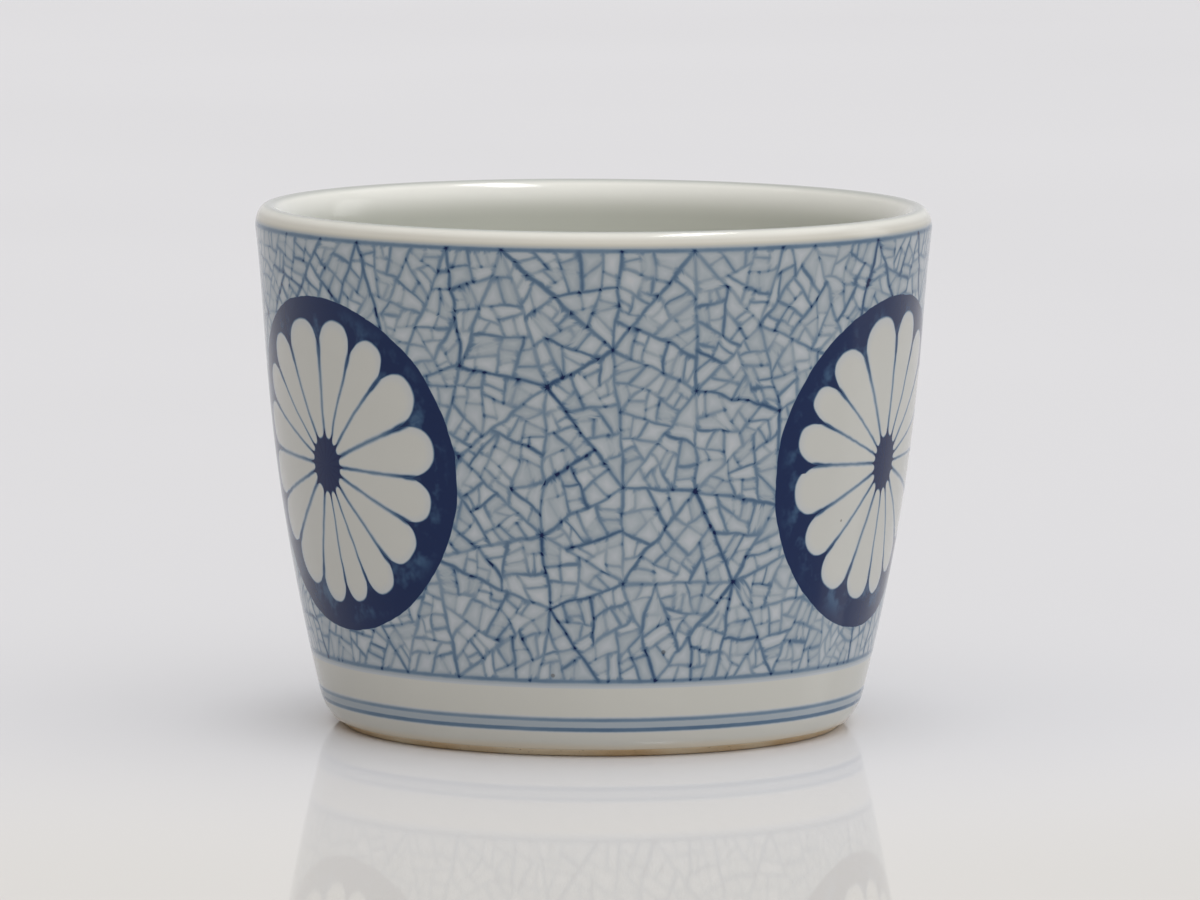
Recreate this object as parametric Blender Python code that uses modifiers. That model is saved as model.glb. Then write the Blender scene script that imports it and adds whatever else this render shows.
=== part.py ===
"""A straight-sided porcelain tea cup without a handle.

Metres, +Z up. The origin is on the cup's axis, at the height of the surface that the cup stands on.

A fired pot is one lump of clay under a skin of glass, so the cup is built from its real layers:
a porcelain body, a glaze coat that runs from the foot over the lip to the middle of the floor, and
an island of glaze inside the foot ring. The foot's bare rim, which has no glaze, parts the two.

Each layer is a turned shape: an outline in the X-Z plane, swept about Z by a Screw modifier.
Only the visible surfaces are drawn. The layers under them are the same outline, set inwards.
"""

import math

import bpy
from mathutils import Vector

MM = 0.001

# Size of the finished cup, over the glaze.
HEIGHT = 64.6 * MM
LIP_RADIUS = 41.95 * MM
LIP_SHOULDER = 61.6 * MM
CREST_RADIUS = 40.4 * MM
KNEE_RADIUS = 33.85 * MM
KNEE_HEIGHT = 4.2 * MM

# The outer wall leans out more near the foot than near the lip.
LEAN_AT_KNEE = math.radians(13.4)
LEAN_AT_LIP = math.radians(7.0)
REACH_AT_KNEE = 31.5 * MM
REACH_AT_LIP = 13.6 * MM

# The knee curls under the cup, down to the edge of the glaze.
KNEE_CURVE_RADIUS = 7.3 * MM
GLAZE_EDGE_HEIGHT = 1.0 * MM

# The inside: wall thickness, the broad corner and a floor that dips slightly.
LIP_THICKNESS = 4.0 * MM
INNER_LIP_DROP = 3.6 * MM
CORNER_TOP_RADIUS = 32.3 * MM
CORNER_TOP_HEIGHT = 17.5 * MM
LEAN_INSIDE = math.radians(10.5)
FLOOR_RADIUS = 20.0 * MM
FLOOR_EDGE_HEIGHT = 8.3 * MM
FLOOR_DIP = 0.4 * MM

# The foot ring and the recess that it surrounds.
RING_OUTER_RADIUS = 31.0 * MM
RING_INNER_RADIUS = 27.5 * MM
RING_EDGE = 0.4 * MM
RECESS_TOP_RADIUS = 25.3 * MM
RECESS_HEIGHT = 3.1 * MM
RECESS_DOME = 0.3 * MM

# The layers. Neighbouring solids keep a small gap to each other.
GLAZE_THICKNESS = 0.3 * MM
LAYER_GAP = 0.3 * MM

TURNING_STEPS = 64
MERGE_DISTANCE = 0.00001

CLAY_COLOUR = (0.50, 0.38, 0.27, 1.0)
GLAZE_COLOUR = (0.62, 0.65, 0.66, 1.0)
FOOT_GLAZE_COLOUR = (0.66, 0.66, 0.60, 1.0)


def lean(angle, length):
    """Step along a line that leans outwards from the vertical by an angle."""
    return Vector((math.sin(angle), math.cos(angle))) * length


def bezier(start, start_handle, end_handle, end, count):
    """Points along a cubic curve, from its start up to but not including its end."""
    points = []
    for index in range(count):
        t = index / count
        s = 1.0 - t
        point = start * s**3 + start_handle * 3 * s**2 * t + end_handle * 3 * s * t**2 + end * t**3
        points.append(point)
    return points


def floor_and_corner():
    """The inside, from the middle of the floor to the foot of the inner wall."""
    centre = Vector((0.0, FLOOR_EDGE_HEIGHT - FLOOR_DIP))
    floor_edge = Vector((FLOOR_RADIUS, FLOOR_EDGE_HEIGHT))
    corner_top = Vector((CORNER_TOP_RADIUS, CORNER_TOP_HEIGHT))
    rise = Vector((1.0, 2.0 * FLOOR_DIP / FLOOR_RADIUS))
    corner_reach = corner_top.x - floor_edge.x
    floor = bezier(centre, centre + Vector((FLOOR_RADIUS / 3, 0.0)),
                   floor_edge - rise * (FLOOR_RADIUS / 3), floor_edge, 3)
    corner = bezier(floor_edge, floor_edge + rise * corner_reach * 0.6,
                    corner_top - lean(LEAN_INSIDE, corner_reach * 0.4), corner_top, 5)
    return floor + corner


def inner_wall():
    """The inner wall, from the corner up to where the lip starts to round over."""
    bottom = Vector((CORNER_TOP_RADIUS, CORNER_TOP_HEIGHT))
    top = inner_lip_point()
    reach = (top.y - bottom.y) / 3
    return bezier(bottom, bottom + lean(LEAN_INSIDE, reach), top - lean(LEAN_AT_LIP, reach), top, 5)


def inner_lip_point():
    """Where the inner wall ends and the lip begins."""
    return Vector((LIP_RADIUS - LIP_THICKNESS, HEIGHT - INNER_LIP_DROP))


def lip():
    """The rounded lip, from the inner wall over the crest to the outer wall."""
    inner = inner_lip_point()
    crest = Vector((CREST_RADIUS, HEIGHT))
    outer = Vector((LIP_RADIUS, LIP_SHOULDER))
    inner_half = bezier(inner, inner + lean(LEAN_AT_LIP, INNER_LIP_DROP * 0.55),
                        crest - Vector(((crest.x - inner.x) * 0.5, 0.0)), crest, 4)
    drop = HEIGHT - LIP_SHOULDER
    outer_half = bezier(crest, crest + Vector(((outer.x - crest.x) * 0.62, 0.0)),
                        outer + lean(LEAN_AT_LIP, drop * 0.55), outer, 4)
    return inner_half + outer_half


def outer_wall():
    """The flaring outer wall, from the lip down to the knee."""
    top = Vector((LIP_RADIUS, LIP_SHOULDER))
    bottom = Vector((KNEE_RADIUS, KNEE_HEIGHT))
    return bezier(top, top - lean(LEAN_AT_LIP, REACH_AT_LIP),
                  bottom + lean(LEAN_AT_KNEE, REACH_AT_KNEE), bottom, 8)


def knee_point(angle):
    """A point on the arc under the wall, where the surface leans out by the given angle."""
    turn = Vector((math.cos(angle) - math.cos(LEAN_AT_KNEE), math.sin(LEAN_AT_KNEE) - math.sin(angle)))
    return Vector((KNEE_RADIUS, KNEE_HEIGHT)) + turn * KNEE_CURVE_RADIUS


def knee(count):
    """The knee, from the wall's foot to the edge of the glaze."""
    drop = (KNEE_HEIGHT - GLAZE_EDGE_HEIGHT) / KNEE_CURVE_RADIUS
    last_angle = math.asin(math.sin(LEAN_AT_KNEE) + drop)
    step = (last_angle - LEAN_AT_KNEE) / count
    return [knee_point(LEAN_AT_KNEE + step * index) for index in range(count + 1)]


def cup_skin():
    """The glazed surface of the whole cup, from the middle of the floor to the foot."""
    return floor_and_corner() + inner_wall() + lip() + outer_wall() + knee(3)


def recess_skin():
    """The glazed surface inside the foot ring, from the ring up to the middle of the recess."""
    edge = Vector((RING_INNER_RADIUS - RING_EDGE, GLAZE_EDGE_HEIGHT))
    shoulder = Vector((RECESS_TOP_RADIUS, RECESS_HEIGHT))
    centre = Vector((0.0, RECESS_HEIGHT + RECESS_DOME))
    depth = shoulder.y - edge.y
    side = bezier(edge, edge + Vector((0.0, depth * 0.6)),
                  shoulder + Vector(((edge.x - shoulder.x) * 0.6, 0.0)), shoulder, 4)
    ceiling = bezier(shoulder, shoulder.lerp(centre, 1 / 3), shoulder.lerp(centre, 2 / 3), centre, 2)
    return side + ceiling + [centre]


def set_inwards(outline, depth):
    """The same outline, moved into the clay by a depth, with its points on the axis kept there."""
    moved = []
    last = len(outline) - 1
    for index, point in enumerate(outline):
        along = outline[min(index + 1, last)] - outline[max(index - 1, 0)]
        if point.x == 0.0:
            along = Vector((math.copysign(1.0, along.x), 0.0))
        outwards = Vector((-along.y, along.x)).normalized()
        moved.append(point - outwards * depth)
    return moved


def coat_outline(skin):
    """A layer of glaze: its visible surface and its underside, with both ends on the axis."""
    underside = set_inwards(skin, GLAZE_THICKNESS)[::-1]
    if skin[0].x == 0.0:
        return skin + underside
    return underside + skin


def body_outline():
    """The clay under both glazes, with the bare foot ring between them."""
    clay_depth = GLAZE_THICKNESS + LAYER_GAP
    ring = [
        Vector((RING_OUTER_RADIUS, RING_EDGE)),
        Vector((RING_OUTER_RADIUS - RING_EDGE, 0.0)),
        Vector((RING_INNER_RADIUS + RING_EDGE, 0.0)),
        Vector((RING_INNER_RADIUS, RING_EDGE)),
    ]
    return set_inwards(cup_skin(), clay_depth) + ring + set_inwards(recess_skin(), clay_depth)


def make_material(name, colour, roughness):
    """A plain surface of one colour."""
    material = bpy.data.materials.new(name)
    material.use_nodes = True
    material.diffuse_color = colour
    surface = material.node_tree.nodes["Principled BSDF"]
    surface.inputs["Base Color"].default_value = colour
    surface.inputs["Roughness"].default_value = roughness
    surface.inputs["Metallic"].default_value = 0.0
    return material


def turn(name, outline, material, collection):
    """Sweep an outline about the cup's axis into one closed body."""
    mesh = bpy.data.meshes.new(name)
    points = [(point.x, 0.0, point.y) for point in outline]
    edges = [(index, index + 1) for index in range(len(points) - 1)]
    mesh.from_pydata(points, edges, [])
    mesh.materials.append(material)
    turned = bpy.data.objects.new(name, mesh)
    collection.objects.link(turned)
    screw = turned.modifiers.new("Turn", "SCREW")
    screw.axis = "Z"
    screw.angle = math.tau
    screw.steps = TURNING_STEPS
    screw.render_steps = TURNING_STEPS
    screw.use_merge_vertices = True
    screw.merge_threshold = MERGE_DISTANCE
    screw.use_smooth_shade = True
    return turned


def main():
    for leftover in list(bpy.data.objects):
        bpy.data.objects.remove(leftover, do_unlink=True)
    collection = bpy.data.collections.new("tea_cup")
    bpy.context.scene.collection.children.link(collection)

    clay = make_material("bare_porcelain", CLAY_COLOUR, 0.7)
    glaze = make_material("painted_glaze", GLAZE_COLOUR, 0.12)
    foot_glaze = make_material("foot_glaze", FOOT_GLAZE_COLOUR, 0.12)

    turn("porcelain_body", body_outline(), clay, collection)
    turn("glaze_coat", coat_outline(cup_skin()), glaze, collection)
    turn("foot_recess_glaze", coat_outline(recess_skin()), foot_glaze, collection)


main()
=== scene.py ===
"""The finished look of a straight-sided porcelain tea cup, painted in cobalt blue under its glaze.

The cup is one fired pot: a porcelain body, a glaze coat over the wall, the lip and the inside,
and an island of glaze inside the foot ring. The painting is crackled ice, shattered into straight
strokes of cobalt, with three petalled flowers, a border and a double line above the foot.

Metres, +Z up. The cup's front faces -Y. Lengths named `*_MM`, and all lengths in the painting's
plan, are in millimetres.
"""

import logging
import math
import random
from dataclasses import dataclass, field
from enum import Enum
from typing import Callable, Sequence

import bpy
from mathutils import Matrix, Vector, noise
from mathutils.geometry import delaunay_2d_cdt, tessellate_polygon


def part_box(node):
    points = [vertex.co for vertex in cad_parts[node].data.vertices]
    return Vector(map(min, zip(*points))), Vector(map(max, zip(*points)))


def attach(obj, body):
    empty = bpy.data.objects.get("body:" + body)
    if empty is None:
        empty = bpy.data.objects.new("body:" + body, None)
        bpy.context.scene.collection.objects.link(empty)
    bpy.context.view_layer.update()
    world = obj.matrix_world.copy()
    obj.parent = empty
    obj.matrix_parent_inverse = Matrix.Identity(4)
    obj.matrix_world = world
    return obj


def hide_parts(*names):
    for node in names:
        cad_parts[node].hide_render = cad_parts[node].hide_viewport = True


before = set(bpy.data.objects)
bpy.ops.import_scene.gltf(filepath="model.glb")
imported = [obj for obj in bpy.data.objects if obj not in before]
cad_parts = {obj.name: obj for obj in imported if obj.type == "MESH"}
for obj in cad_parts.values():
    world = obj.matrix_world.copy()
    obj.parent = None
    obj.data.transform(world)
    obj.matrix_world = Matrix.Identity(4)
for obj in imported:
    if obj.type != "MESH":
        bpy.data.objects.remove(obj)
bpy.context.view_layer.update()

LOG = logging.getLogger("tea_cup")

MM = 0.001
Colour = tuple[float, float, float, float]
Point = tuple[float, float]


def srgb(red: int, green: int, blue: int) -> Colour:
    """Turn a paint chip's 8-bit colour into the linear colour that a shader takes.

    Args:
        red: Red, 0 to 255.
        green: Green, 0 to 255.
        blue: Blue, 0 to 255.

    Returns:
        The linear colour, with full alpha.
    """
    def linear(value: int) -> float:
        """Linear light of one 8-bit channel."""
        share = value / 255.0
        return share / 12.92 if share <= 0.04045 else ((share + 0.055) / 1.055) ** 2.4

    return (linear(red), linear(green), linear(blue), 1.0)


def smooth(low: float, high: float, value: float) -> float:
    """A smooth step from 0 at `low` to 1 at `high`."""
    share = min(1.0, max(0.0, (value - low) / (high - low)))
    return share * share * (3.0 - 2.0 * share)


# ---------------------------------------------------------------------------------------------
# The cup's outline
# ---------------------------------------------------------------------------------------------


@dataclass(frozen=True)
class CupForm:
    """The cup's outline in the radius-height plane, sized from the frame.

    The outline runs from the edge of the glaze at the foot, up the outside, over the lip, down
    the inside and to the middle of the floor. Its sizes are in metres.
    """

    rim_radius: float
    height: float
    glaze_edge_height: float
    shoulder_inset: float = 0.05 * MM
    crest_inset: float = 1.55 * MM
    shoulder_drop: float = 3.0 * MM
    knee_radius: float = 33.85 * MM
    knee_height: float = 4.2 * MM
    knee_curve: float = 7.3 * MM
    lean_at_knee: float = math.radians(13.4)
    lean_at_lip: float = math.radians(7.0)
    reach_at_knee: float = 31.5 * MM
    reach_at_lip: float = 13.6 * MM
    lip_thickness: float = 4.0 * MM
    inner_lip_drop: float = 3.6 * MM
    corner_top_radius: float = 32.3 * MM
    corner_top_height: float = 17.5 * MM
    lean_inside: float = math.radians(10.5)
    floor_radius: float = 20.0 * MM
    floor_edge_height: float = 8.3 * MM
    floor_dip: float = 0.4 * MM

    @classmethod
    def from_frame(cls) -> "CupForm":
        """Read the cup's overall sizes from the frame's glaze coat."""
        low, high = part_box("glaze_coat")
        return cls(rim_radius=high[0], height=high[2], glaze_edge_height=low[2])

    @staticmethod
    def curve(start: Vector, handle: Vector, other: Vector, end: Vector, count: int) -> list[Vector]:
        """Points along a cubic curve, its end left out.

        Args:
            start: First point.
            handle: Control point of the start.
            other: Control point of the end.
            end: Last point, which isn't returned.
            count: Number of points.

        Returns:
            The points.
        """
        points = []
        for index in range(count):
            t = index / count
            s = 1.0 - t
            points.append(start * s**3 + handle * 3 * s * s * t + other * 3 * s * t * t + end * t**3)
        return points

    @staticmethod
    def lean(angle: float, length: float) -> Vector:
        """A step up a line that leans outwards by an angle."""
        return Vector((math.sin(angle), math.cos(angle))) * length

    def knee(self, count: int, lowest: float) -> list[Vector]:
        """The arc under the wall, from a given height up to the wall's foot.

        Args:
            count: Number of points, the wall's foot left out.
            lowest: Height of the first point.

        Returns:
            The points, going up.
        """
        base = math.sin(self.lean_at_knee)
        steepest = math.asin(base + (self.knee_height - lowest) / self.knee_curve)
        points = []
        for index in range(count):
            angle = steepest + (self.lean_at_knee - steepest) * index / count
            turn = Vector((math.cos(angle) - math.cos(self.lean_at_knee), base - math.sin(angle)))
            points.append(Vector((self.knee_radius, self.knee_height)) + turn * self.knee_curve)
        return points

    def skin(self) -> list[Vector]:
        """The glazed surface, finely divided, from the glaze's edge to the middle of the floor."""
        shoulder = Vector((self.rim_radius - self.shoulder_inset, self.height - self.shoulder_drop))
        crest = Vector((self.rim_radius - self.crest_inset, self.height))
        knee = Vector((self.knee_radius, self.knee_height))
        inner = Vector((shoulder.x - self.lip_thickness, self.height - self.inner_lip_drop))
        corner = Vector((self.corner_top_radius, self.corner_top_height))
        floor = Vector((self.floor_radius, self.floor_edge_height))
        centre = Vector((0.0, self.floor_edge_height - self.floor_dip))
        rise = Vector((1.0, 2.0 * self.floor_dip / self.floor_radius))
        corner_width = corner.x - floor.x
        third = (inner.y - corner.y) / 3.0

        outline = self.knee(16, self.glaze_edge_height)
        outline += self.curve(knee, knee + self.lean(self.lean_at_knee, self.reach_at_knee),
                              shoulder - self.lean(self.lean_at_lip, self.reach_at_lip), shoulder, 120)
        outline += self.curve(shoulder, shoulder + self.lean(self.lean_at_lip, self.shoulder_drop * 0.55),
                              crest + Vector(((shoulder.x - crest.x) * 0.62, 0.0)), crest, 28)
        outline += self.curve(crest, crest - Vector(((crest.x - inner.x) * 0.5, 0.0)),
                              inner + self.lean(self.lean_at_lip, self.inner_lip_drop * 0.55), inner, 28)
        outline += self.curve(inner, inner - self.lean(self.lean_at_lip, third),
                              corner + self.lean(self.lean_inside, third), corner, 60)
        outline += self.curve(corner, corner - self.lean(self.lean_inside, corner_width * 0.4),
                              floor + rise * corner_width * 0.6, floor, 40)
        outline += self.curve(floor, floor - rise * (self.floor_radius / 3.0),
                              centre + Vector((self.floor_radius / 3.0, 0.0)), centre, 20)
        outline.append(centre)
        return outline


class SkinChart:
    """Maps the painter's flat plan to the glazed surface.

    `u` is the way round the cup and `v` the way up its skin, both in millimetres. `u` is measured
    at REFERENCE_RADIUS_MM from the middle of the front, and grows towards +X.
    """

    REFERENCE_RADIUS_MM = 40.0
    ROUND_MM = math.tau * REFERENCE_RADIUS_MM

    def __init__(self, outline: Sequence[Vector]) -> None:
        """Measure the outline's length.

        Args:
            outline: The glazed surface, from the foot to the middle of the floor.
        """
        self.points = list(outline)
        self.lengths = [0.0]
        for before, after in zip(self.points, self.points[1:]):
            self.lengths.append(self.lengths[-1] + (after - before).length / MM)
        self.tangents = []
        last = len(self.points) - 1
        for index in range(last + 1):
            along = self.points[min(index + 1, last)] - self.points[max(index - 1, 0)]
            self.tangents.append(along.normalized())
        self.tangents[-1] = Vector((-1.0, 0.0))

    @property
    def length(self) -> float:
        """Length of the whole outline."""
        return self.lengths[-1]

    def span(self, v: float) -> tuple[int, float]:
        """The outline's segment that holds `v`, and how far along it `v` lies."""
        low, high = 0, len(self.lengths) - 1
        while high - low > 1:
            middle = (low + high) // 2
            if self.lengths[middle] <= v:
                low = middle
            else:
                high = middle
        step = self.lengths[high] - self.lengths[low]
        return low, min(1.0, max(0.0, (v - self.lengths[low]) / step))

    def section(self, v: float) -> tuple[Vector, Vector]:
        """The outline's point and outward normal at `v`."""
        index, share = self.span(v)
        point = self.points[index].lerp(self.points[index + 1], share)
        along = self.tangents[index].lerp(self.tangents[index + 1], share).normalized()
        return point, Vector((along.y, -along.x))

    def place(self, u: float, v: float, depth: float = 0.0) -> tuple[Vector, Vector]:
        """A point of the plan on the cup.

        Args:
            u: Way round the cup.
            v: Way up the skin.
            depth: How far under the surface, in metres.

        Returns:
            The position in metres, and the outward normal.
        """
        point, normal = self.section(v)
        point = point - normal * depth
        angle = u / self.REFERENCE_RADIUS_MM
        sine, cosine = math.sin(angle), math.cos(angle)
        position = Vector((point.x * sine, -point.x * cosine, point.y))
        return position, Vector((normal.x * sine, -normal.x * cosine, normal.y))

    def v_at_height(self, height_mm: float) -> float:
        """Way up the outer wall at which a height is reached."""
        for index, point in enumerate(self.points):
            if point.y / MM >= height_mm:
                before = self.points[index - 1]
                share = (height_mm * MM - before.y) / (point.y - before.y)
                return self.lengths[index - 1] + share * (self.lengths[index] - self.lengths[index - 1])
        return self.length


# ---------------------------------------------------------------------------------------------
# The plan of the painting
# ---------------------------------------------------------------------------------------------


@dataclass(frozen=True)
class FlowerPlan:
    """Where the three petalled flowers sit, and their sizes in the plan."""

    first_angle: float = 64.8
    count: int = 3
    centre_height: float = 34.5
    half_width: float = 21.4
    half_height: float = 20.65
    under_ring: float = 0.45
    sides: int = 144

    def centres(self, chart: SkinChart) -> list[Point]:
        """Centres of the flowers, going round the cup from the front right one."""
        v = chart.v_at_height(self.centre_height)
        step = chart.ROUND_MM / self.count
        start = math.radians(self.first_angle) * chart.REFERENCE_RADIUS_MM
        return [(start - step + step * index, v) for index in range(self.count)]

    def edge(self, centre: Point, turn: float, inset: float = 0.0) -> Point:
        """A point on the oval that the crackle stops at, inset by a length."""
        angle = math.tau * turn
        wide = self.half_width - self.under_ring - inset
        high = self.half_height - self.under_ring - inset
        return (centre[0] + wide * math.cos(angle), centre[1] + high * math.sin(angle))

    def reach(self, centre: Point, point: Point) -> float:
        """Distance from a flower's centre as a share of that oval's size."""
        wide = self.half_width - self.under_ring
        high = self.half_height - self.under_ring
        return math.hypot((point[0] - centre[0]) / wide, (point[1] - centre[1]) / high)


class Rank(Enum):
    """The order in which the painter laid the strokes: half width and strength of colour."""

    TRUNK = (0.165, 0.73)
    BRANCH = (0.145, 0.68)
    TWIG = (0.122, 0.61)
    HAIR = (0.104, 0.50)

    @property
    def half_width(self) -> float:
        """Half of the stroke's width."""
        return self.value[0]

    @property
    def strength(self) -> float:
        """How much cobalt the stroke holds, 0 to 1."""
        return self.value[1]


@dataclass
class Stroke:
    """One straight stroke of the crackle, in the plan."""

    start: Point
    end: Point
    rank: Rank
    width_share: float
    strength_share: float
    fade: float


@dataclass
class PlanMesh:
    """A conforming division of the painted field into cells.

    Attributes:
        points: Corners in the plan.
        cells: Loops of corner numbers, counter-clockwise.
        width: Half width of the stroke at each corner.
        strength: Strength of the stroke at each corner.
        pool: How much cobalt pooled at each corner.
    """

    points: list[Point]
    cells: list[list[int]]
    width: list[float]
    strength: list[float]
    pool: list[float]


def area_of(loop: Sequence[Point]) -> float:
    """Signed area of a loop, positive when it runs counter-clockwise."""
    total = 0.0
    for (ax, ay), (bx, by) in zip(loop, list(loop[1:]) + [loop[0]]):
        total += ax * by - bx * ay
    return total / 2.0


def centre_of(loop: Sequence[Point]) -> Point:
    """Centre of gravity of a loop."""
    area = area_of(loop)
    if abs(area) < 1e-6:
        return (sum(p[0] for p in loop) / len(loop), sum(p[1] for p in loop) / len(loop))
    cx = cy = 0.0
    for (ax, ay), (bx, by) in zip(loop, list(loop[1:]) + [loop[0]]):
        cross = ax * by - bx * ay
        cx += (ax + bx) * cross
        cy += (ay + by) * cross
    return (cx / (6.0 * area), cy / (6.0 * area))


def between(a: Point, b: Point, share: float) -> Point:
    """The point a share of the way from a to b."""
    return (a[0] + (b[0] - a[0]) * share, a[1] + (b[1] - a[1]) * share)


def distance_to_line(point: Point, a: Point, b: Point) -> float:
    """Distance from a point to the endless line through a and b."""
    length = math.dist(a, b)
    if length < 1e-9:
        return math.dist(point, a)
    return abs((b[0] - a[0]) * (point[1] - a[1]) - (b[1] - a[1]) * (point[0] - a[0])) / length


@dataclass
class CrackledIce:
    """The crackled ground: big shards first, and each of them shattered again and again.

    Attributes:
        width: Way round the cup.
        low: Way up the skin of the border line.
        high: Way up the skin of the line under the lip.
        seam: Way round at the lower end of the bent stroke that closes the pattern.
        flowers: The flowers, which the strokes run into.
        centres: Their centres.
    """

    width: float
    low: float
    high: float
    seam: float
    flowers: FlowerPlan
    centres: list[Point]
    seam_bends: tuple[Point, ...] = ((0.0, 0.0), (0.2, 2.8), (0.41, -1.2), (0.6, 2.2), (0.81, -1.8), (1.0, 0.9))
    mark_spacing: float = 2.6
    node_spacing: float = 9.8
    largest_shard: float = 110.0
    cell_area: tuple[float, float] = (3.6, 8.2)
    seed: int = 41
    strokes: list[Stroke] = field(default_factory=list)

    def __post_init__(self) -> None:
        """Start the draws of chance, and mark the seam where strokes may end on it."""
        self.chance = random.Random(self.seed)
        self.joints = [share for share, _ in self.seam_bends]
        self.shares = [0.0]
        for start, end in zip(self.joints, self.joints[1:]):
            count = max(1, round((end - start) * (self.high - self.low) / self.mark_spacing))
            for index in range(1, count):
                jitter = self.chance.uniform(-0.22, 0.22)
                self.shares.append(start + (end - start) * (index + jitter) / count)
            self.shares.append(end)

    def seam_point(self, share: float, side: int) -> Point:
        """A point of the seam stroke, on its left copy (0) or its right copy (1)."""
        for (start, left), (end, right) in zip(self.seam_bends, self.seam_bends[1:]):
            if share <= end:
                bend = left + (right - left) * (share - start) / (end - start)
                break
        return (self.seam + bend + side * self.width, self.low + (self.high - self.low) * share)

    def add_stroke(self, start: Point, end: Point, rank: Rank) -> None:
        """Lay one stroke, with its own width, strength and fade."""
        if self.chance.random() < 0.5:
            start, end = end, start
        width = self.chance.uniform(0.86, 1.2)
        strength = self.chance.uniform(0.78, 1.18)
        self.strokes.append(Stroke(start, end, rank, width, strength, self.chance.uniform(0.0, 0.35)))

    def spread_along(self, spacing: float) -> list[float]:
        """Uneven distances along one turn of the cup, its ends left out."""
        count = round(self.width / spacing)
        step = self.width / count
        return [step * (index + self.chance.uniform(-0.28, 0.28)) for index in range(1, count)]

    def scatter_nodes(self) -> tuple[list[Point], list[tuple[int, int]]]:
        """Choose the nodes that the big strokes join, and the frame around them.

        Returns:
            The nodes, and the frame's sides as pairs of node numbers.
        """
        loop = [self.seam_point(share, 1) for share in self.joints]
        loop += [(self.seam_point(1.0, 0)[0] + u, self.high) for u in self.spread_along(9.5)[::-1]]
        loop += [self.seam_point(share, 0) for share in self.joints[::-1]]
        loop += [(self.seam_point(0.0, 0)[0] + u, self.low) for u in self.spread_along(9.5)]
        sides = [(index, (index + 1) % len(loop)) for index in range(len(loop))]
        nodes = list(loop)
        misses = 0
        while misses < 900:
            share = self.chance.uniform(0.085, 0.915)
            left, v = self.seam_point(share, 0)
            point = (left + self.chance.uniform(4.5, self.width - 4.5), v)
            spacing = self.node_spacing * self.chance.uniform(0.82, 1.25)
            if min(math.dist(point, other) for other in nodes) < spacing:
                misses += 1
                continue
            nodes.append(point)
        return nodes, sides

    def in_field(self, point: Point) -> bool:
        """Whether a point lies between the two copies of the seam."""
        share = min(1.0, max(0.0, (point[1] - self.low) / (self.high - self.low)))
        return self.seam_point(share, 0)[0] < point[0] < self.seam_point(share, 1)[0]

    def shards(self) -> list[list[Point]]:
        """The big shards: a net of triangles, with some of its strokes left out."""
        nodes, sides = self.scatter_nodes()
        net = delaunay_2d_cdt([Vector(node) for node in nodes], sides, [], 1, 1e-4, True)
        points = [tuple(point) for point in net[0]]
        faces = [list(loop) for loop in net[2] if self.in_field(centre_of([points[i] for i in loop]))]
        faces = [loop if area_of([points[i] for i in loop]) > 0 else loop[::-1] for loop in faces]
        shards = dict(enumerate(faces))
        owner = {number: number for number in shards}
        beside: dict[tuple[int, int], list[int]] = {}
        for number, loop in shards.items():
            for a, b in zip(loop, loop[1:] + loop[:1]):
                beside.setdefault((min(a, b), max(a, b)), []).append(number)
        inner = sorted(edge for edge, owners in beside.items() if len(owners) == 2)
        frame_edges = {(min(side), max(side)) for side in sides}
        self.chance.shuffle(inner)
        for edge in inner:
            first, second = beside[edge]
            while owner[first] != first:
                first = owner[first]
            while owner[second] != second:
                second = owner[second]
            if edge in frame_edges or first == second or self.chance.random() > 0.7:
                continue
            joined = self.join(shards[first], shards[second], edge)
            loop = [points[i] for i in joined]
            if joined and self.is_convex(loop) and area_of(loop) < self.largest_shard:
                shards[first] = joined
                owner[second] = first
                del shards[second]
        drawn: set[tuple[int, int]] = set()
        for loop in shards.values():
            for a, b in zip(loop, loop[1:] + loop[:1]):
                edge = (min(a, b), max(a, b))
                if edge in drawn or edge in frame_edges:
                    continue
                drawn.add(edge)
                rank = Rank.TRUNK if self.chance.random() < 0.72 else Rank.BRANCH
                self.add_stroke(points[a], points[b], rank)
        return [[points[i] for i in loop] for loop in shards.values()]

    @staticmethod
    def join(first: list[int], second: list[int], edge: tuple[int, int]) -> list[int]:
        """Join two counter-clockwise loops that share one edge, or return nothing."""
        if len(set(first) & set(second)) != 2:
            return []
        a, b = edge
        start = first.index(a)
        if first[(start + 1) % len(first)] != b:
            a, b = b, a
            start = first.index(a)
        turned = [first[(start + 1 + step) % len(first)] for step in range(len(first))]
        other = second.index(a)
        rest = [second[(other + step) % len(second)] for step in range(len(second))]
        return turned + rest[1:-1]

    @staticmethod
    def is_convex(loop: Sequence[Point]) -> bool:
        """Whether every corner of a counter-clockwise loop turns left."""
        count = len(loop)
        for index in range(count):
            a, b, c = loop[index - 1], loop[index], loop[(index + 1) % count]
            turn = (b[0] - a[0]) * (c[1] - b[1]) - (b[1] - a[1]) * (c[0] - b[0])
            if turn < 0.06 * math.dist(a, b) * math.dist(b, c):
                return False
        return True

    def pick_on(self, a: Point, b: Point) -> Point | None:
        """A place on a side where a stroke may end, or nothing when there is none."""
        low, high = sorted((a[1], b[1]))
        for side in (0, 1):
            for start, end in zip(self.joints, self.joints[1:]):
                foot, top = self.seam_point(start, side), self.seam_point(end, side)
                if max(distance_to_line(a, foot, top), distance_to_line(b, foot, top)) > 0.02:
                    continue
                if low < foot[1] - 0.02 or high > top[1] + 0.02:
                    continue
                marks = [self.seam_point(share, side) for share in self.shares if start < share < end]
                marks = [mark for mark in marks if low + 0.5 < mark[1] < high - 0.5]
                return self.chance.choice(marks) if marks else None
        return between(a, b, self.chance.uniform(0.22, 0.78))

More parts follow.
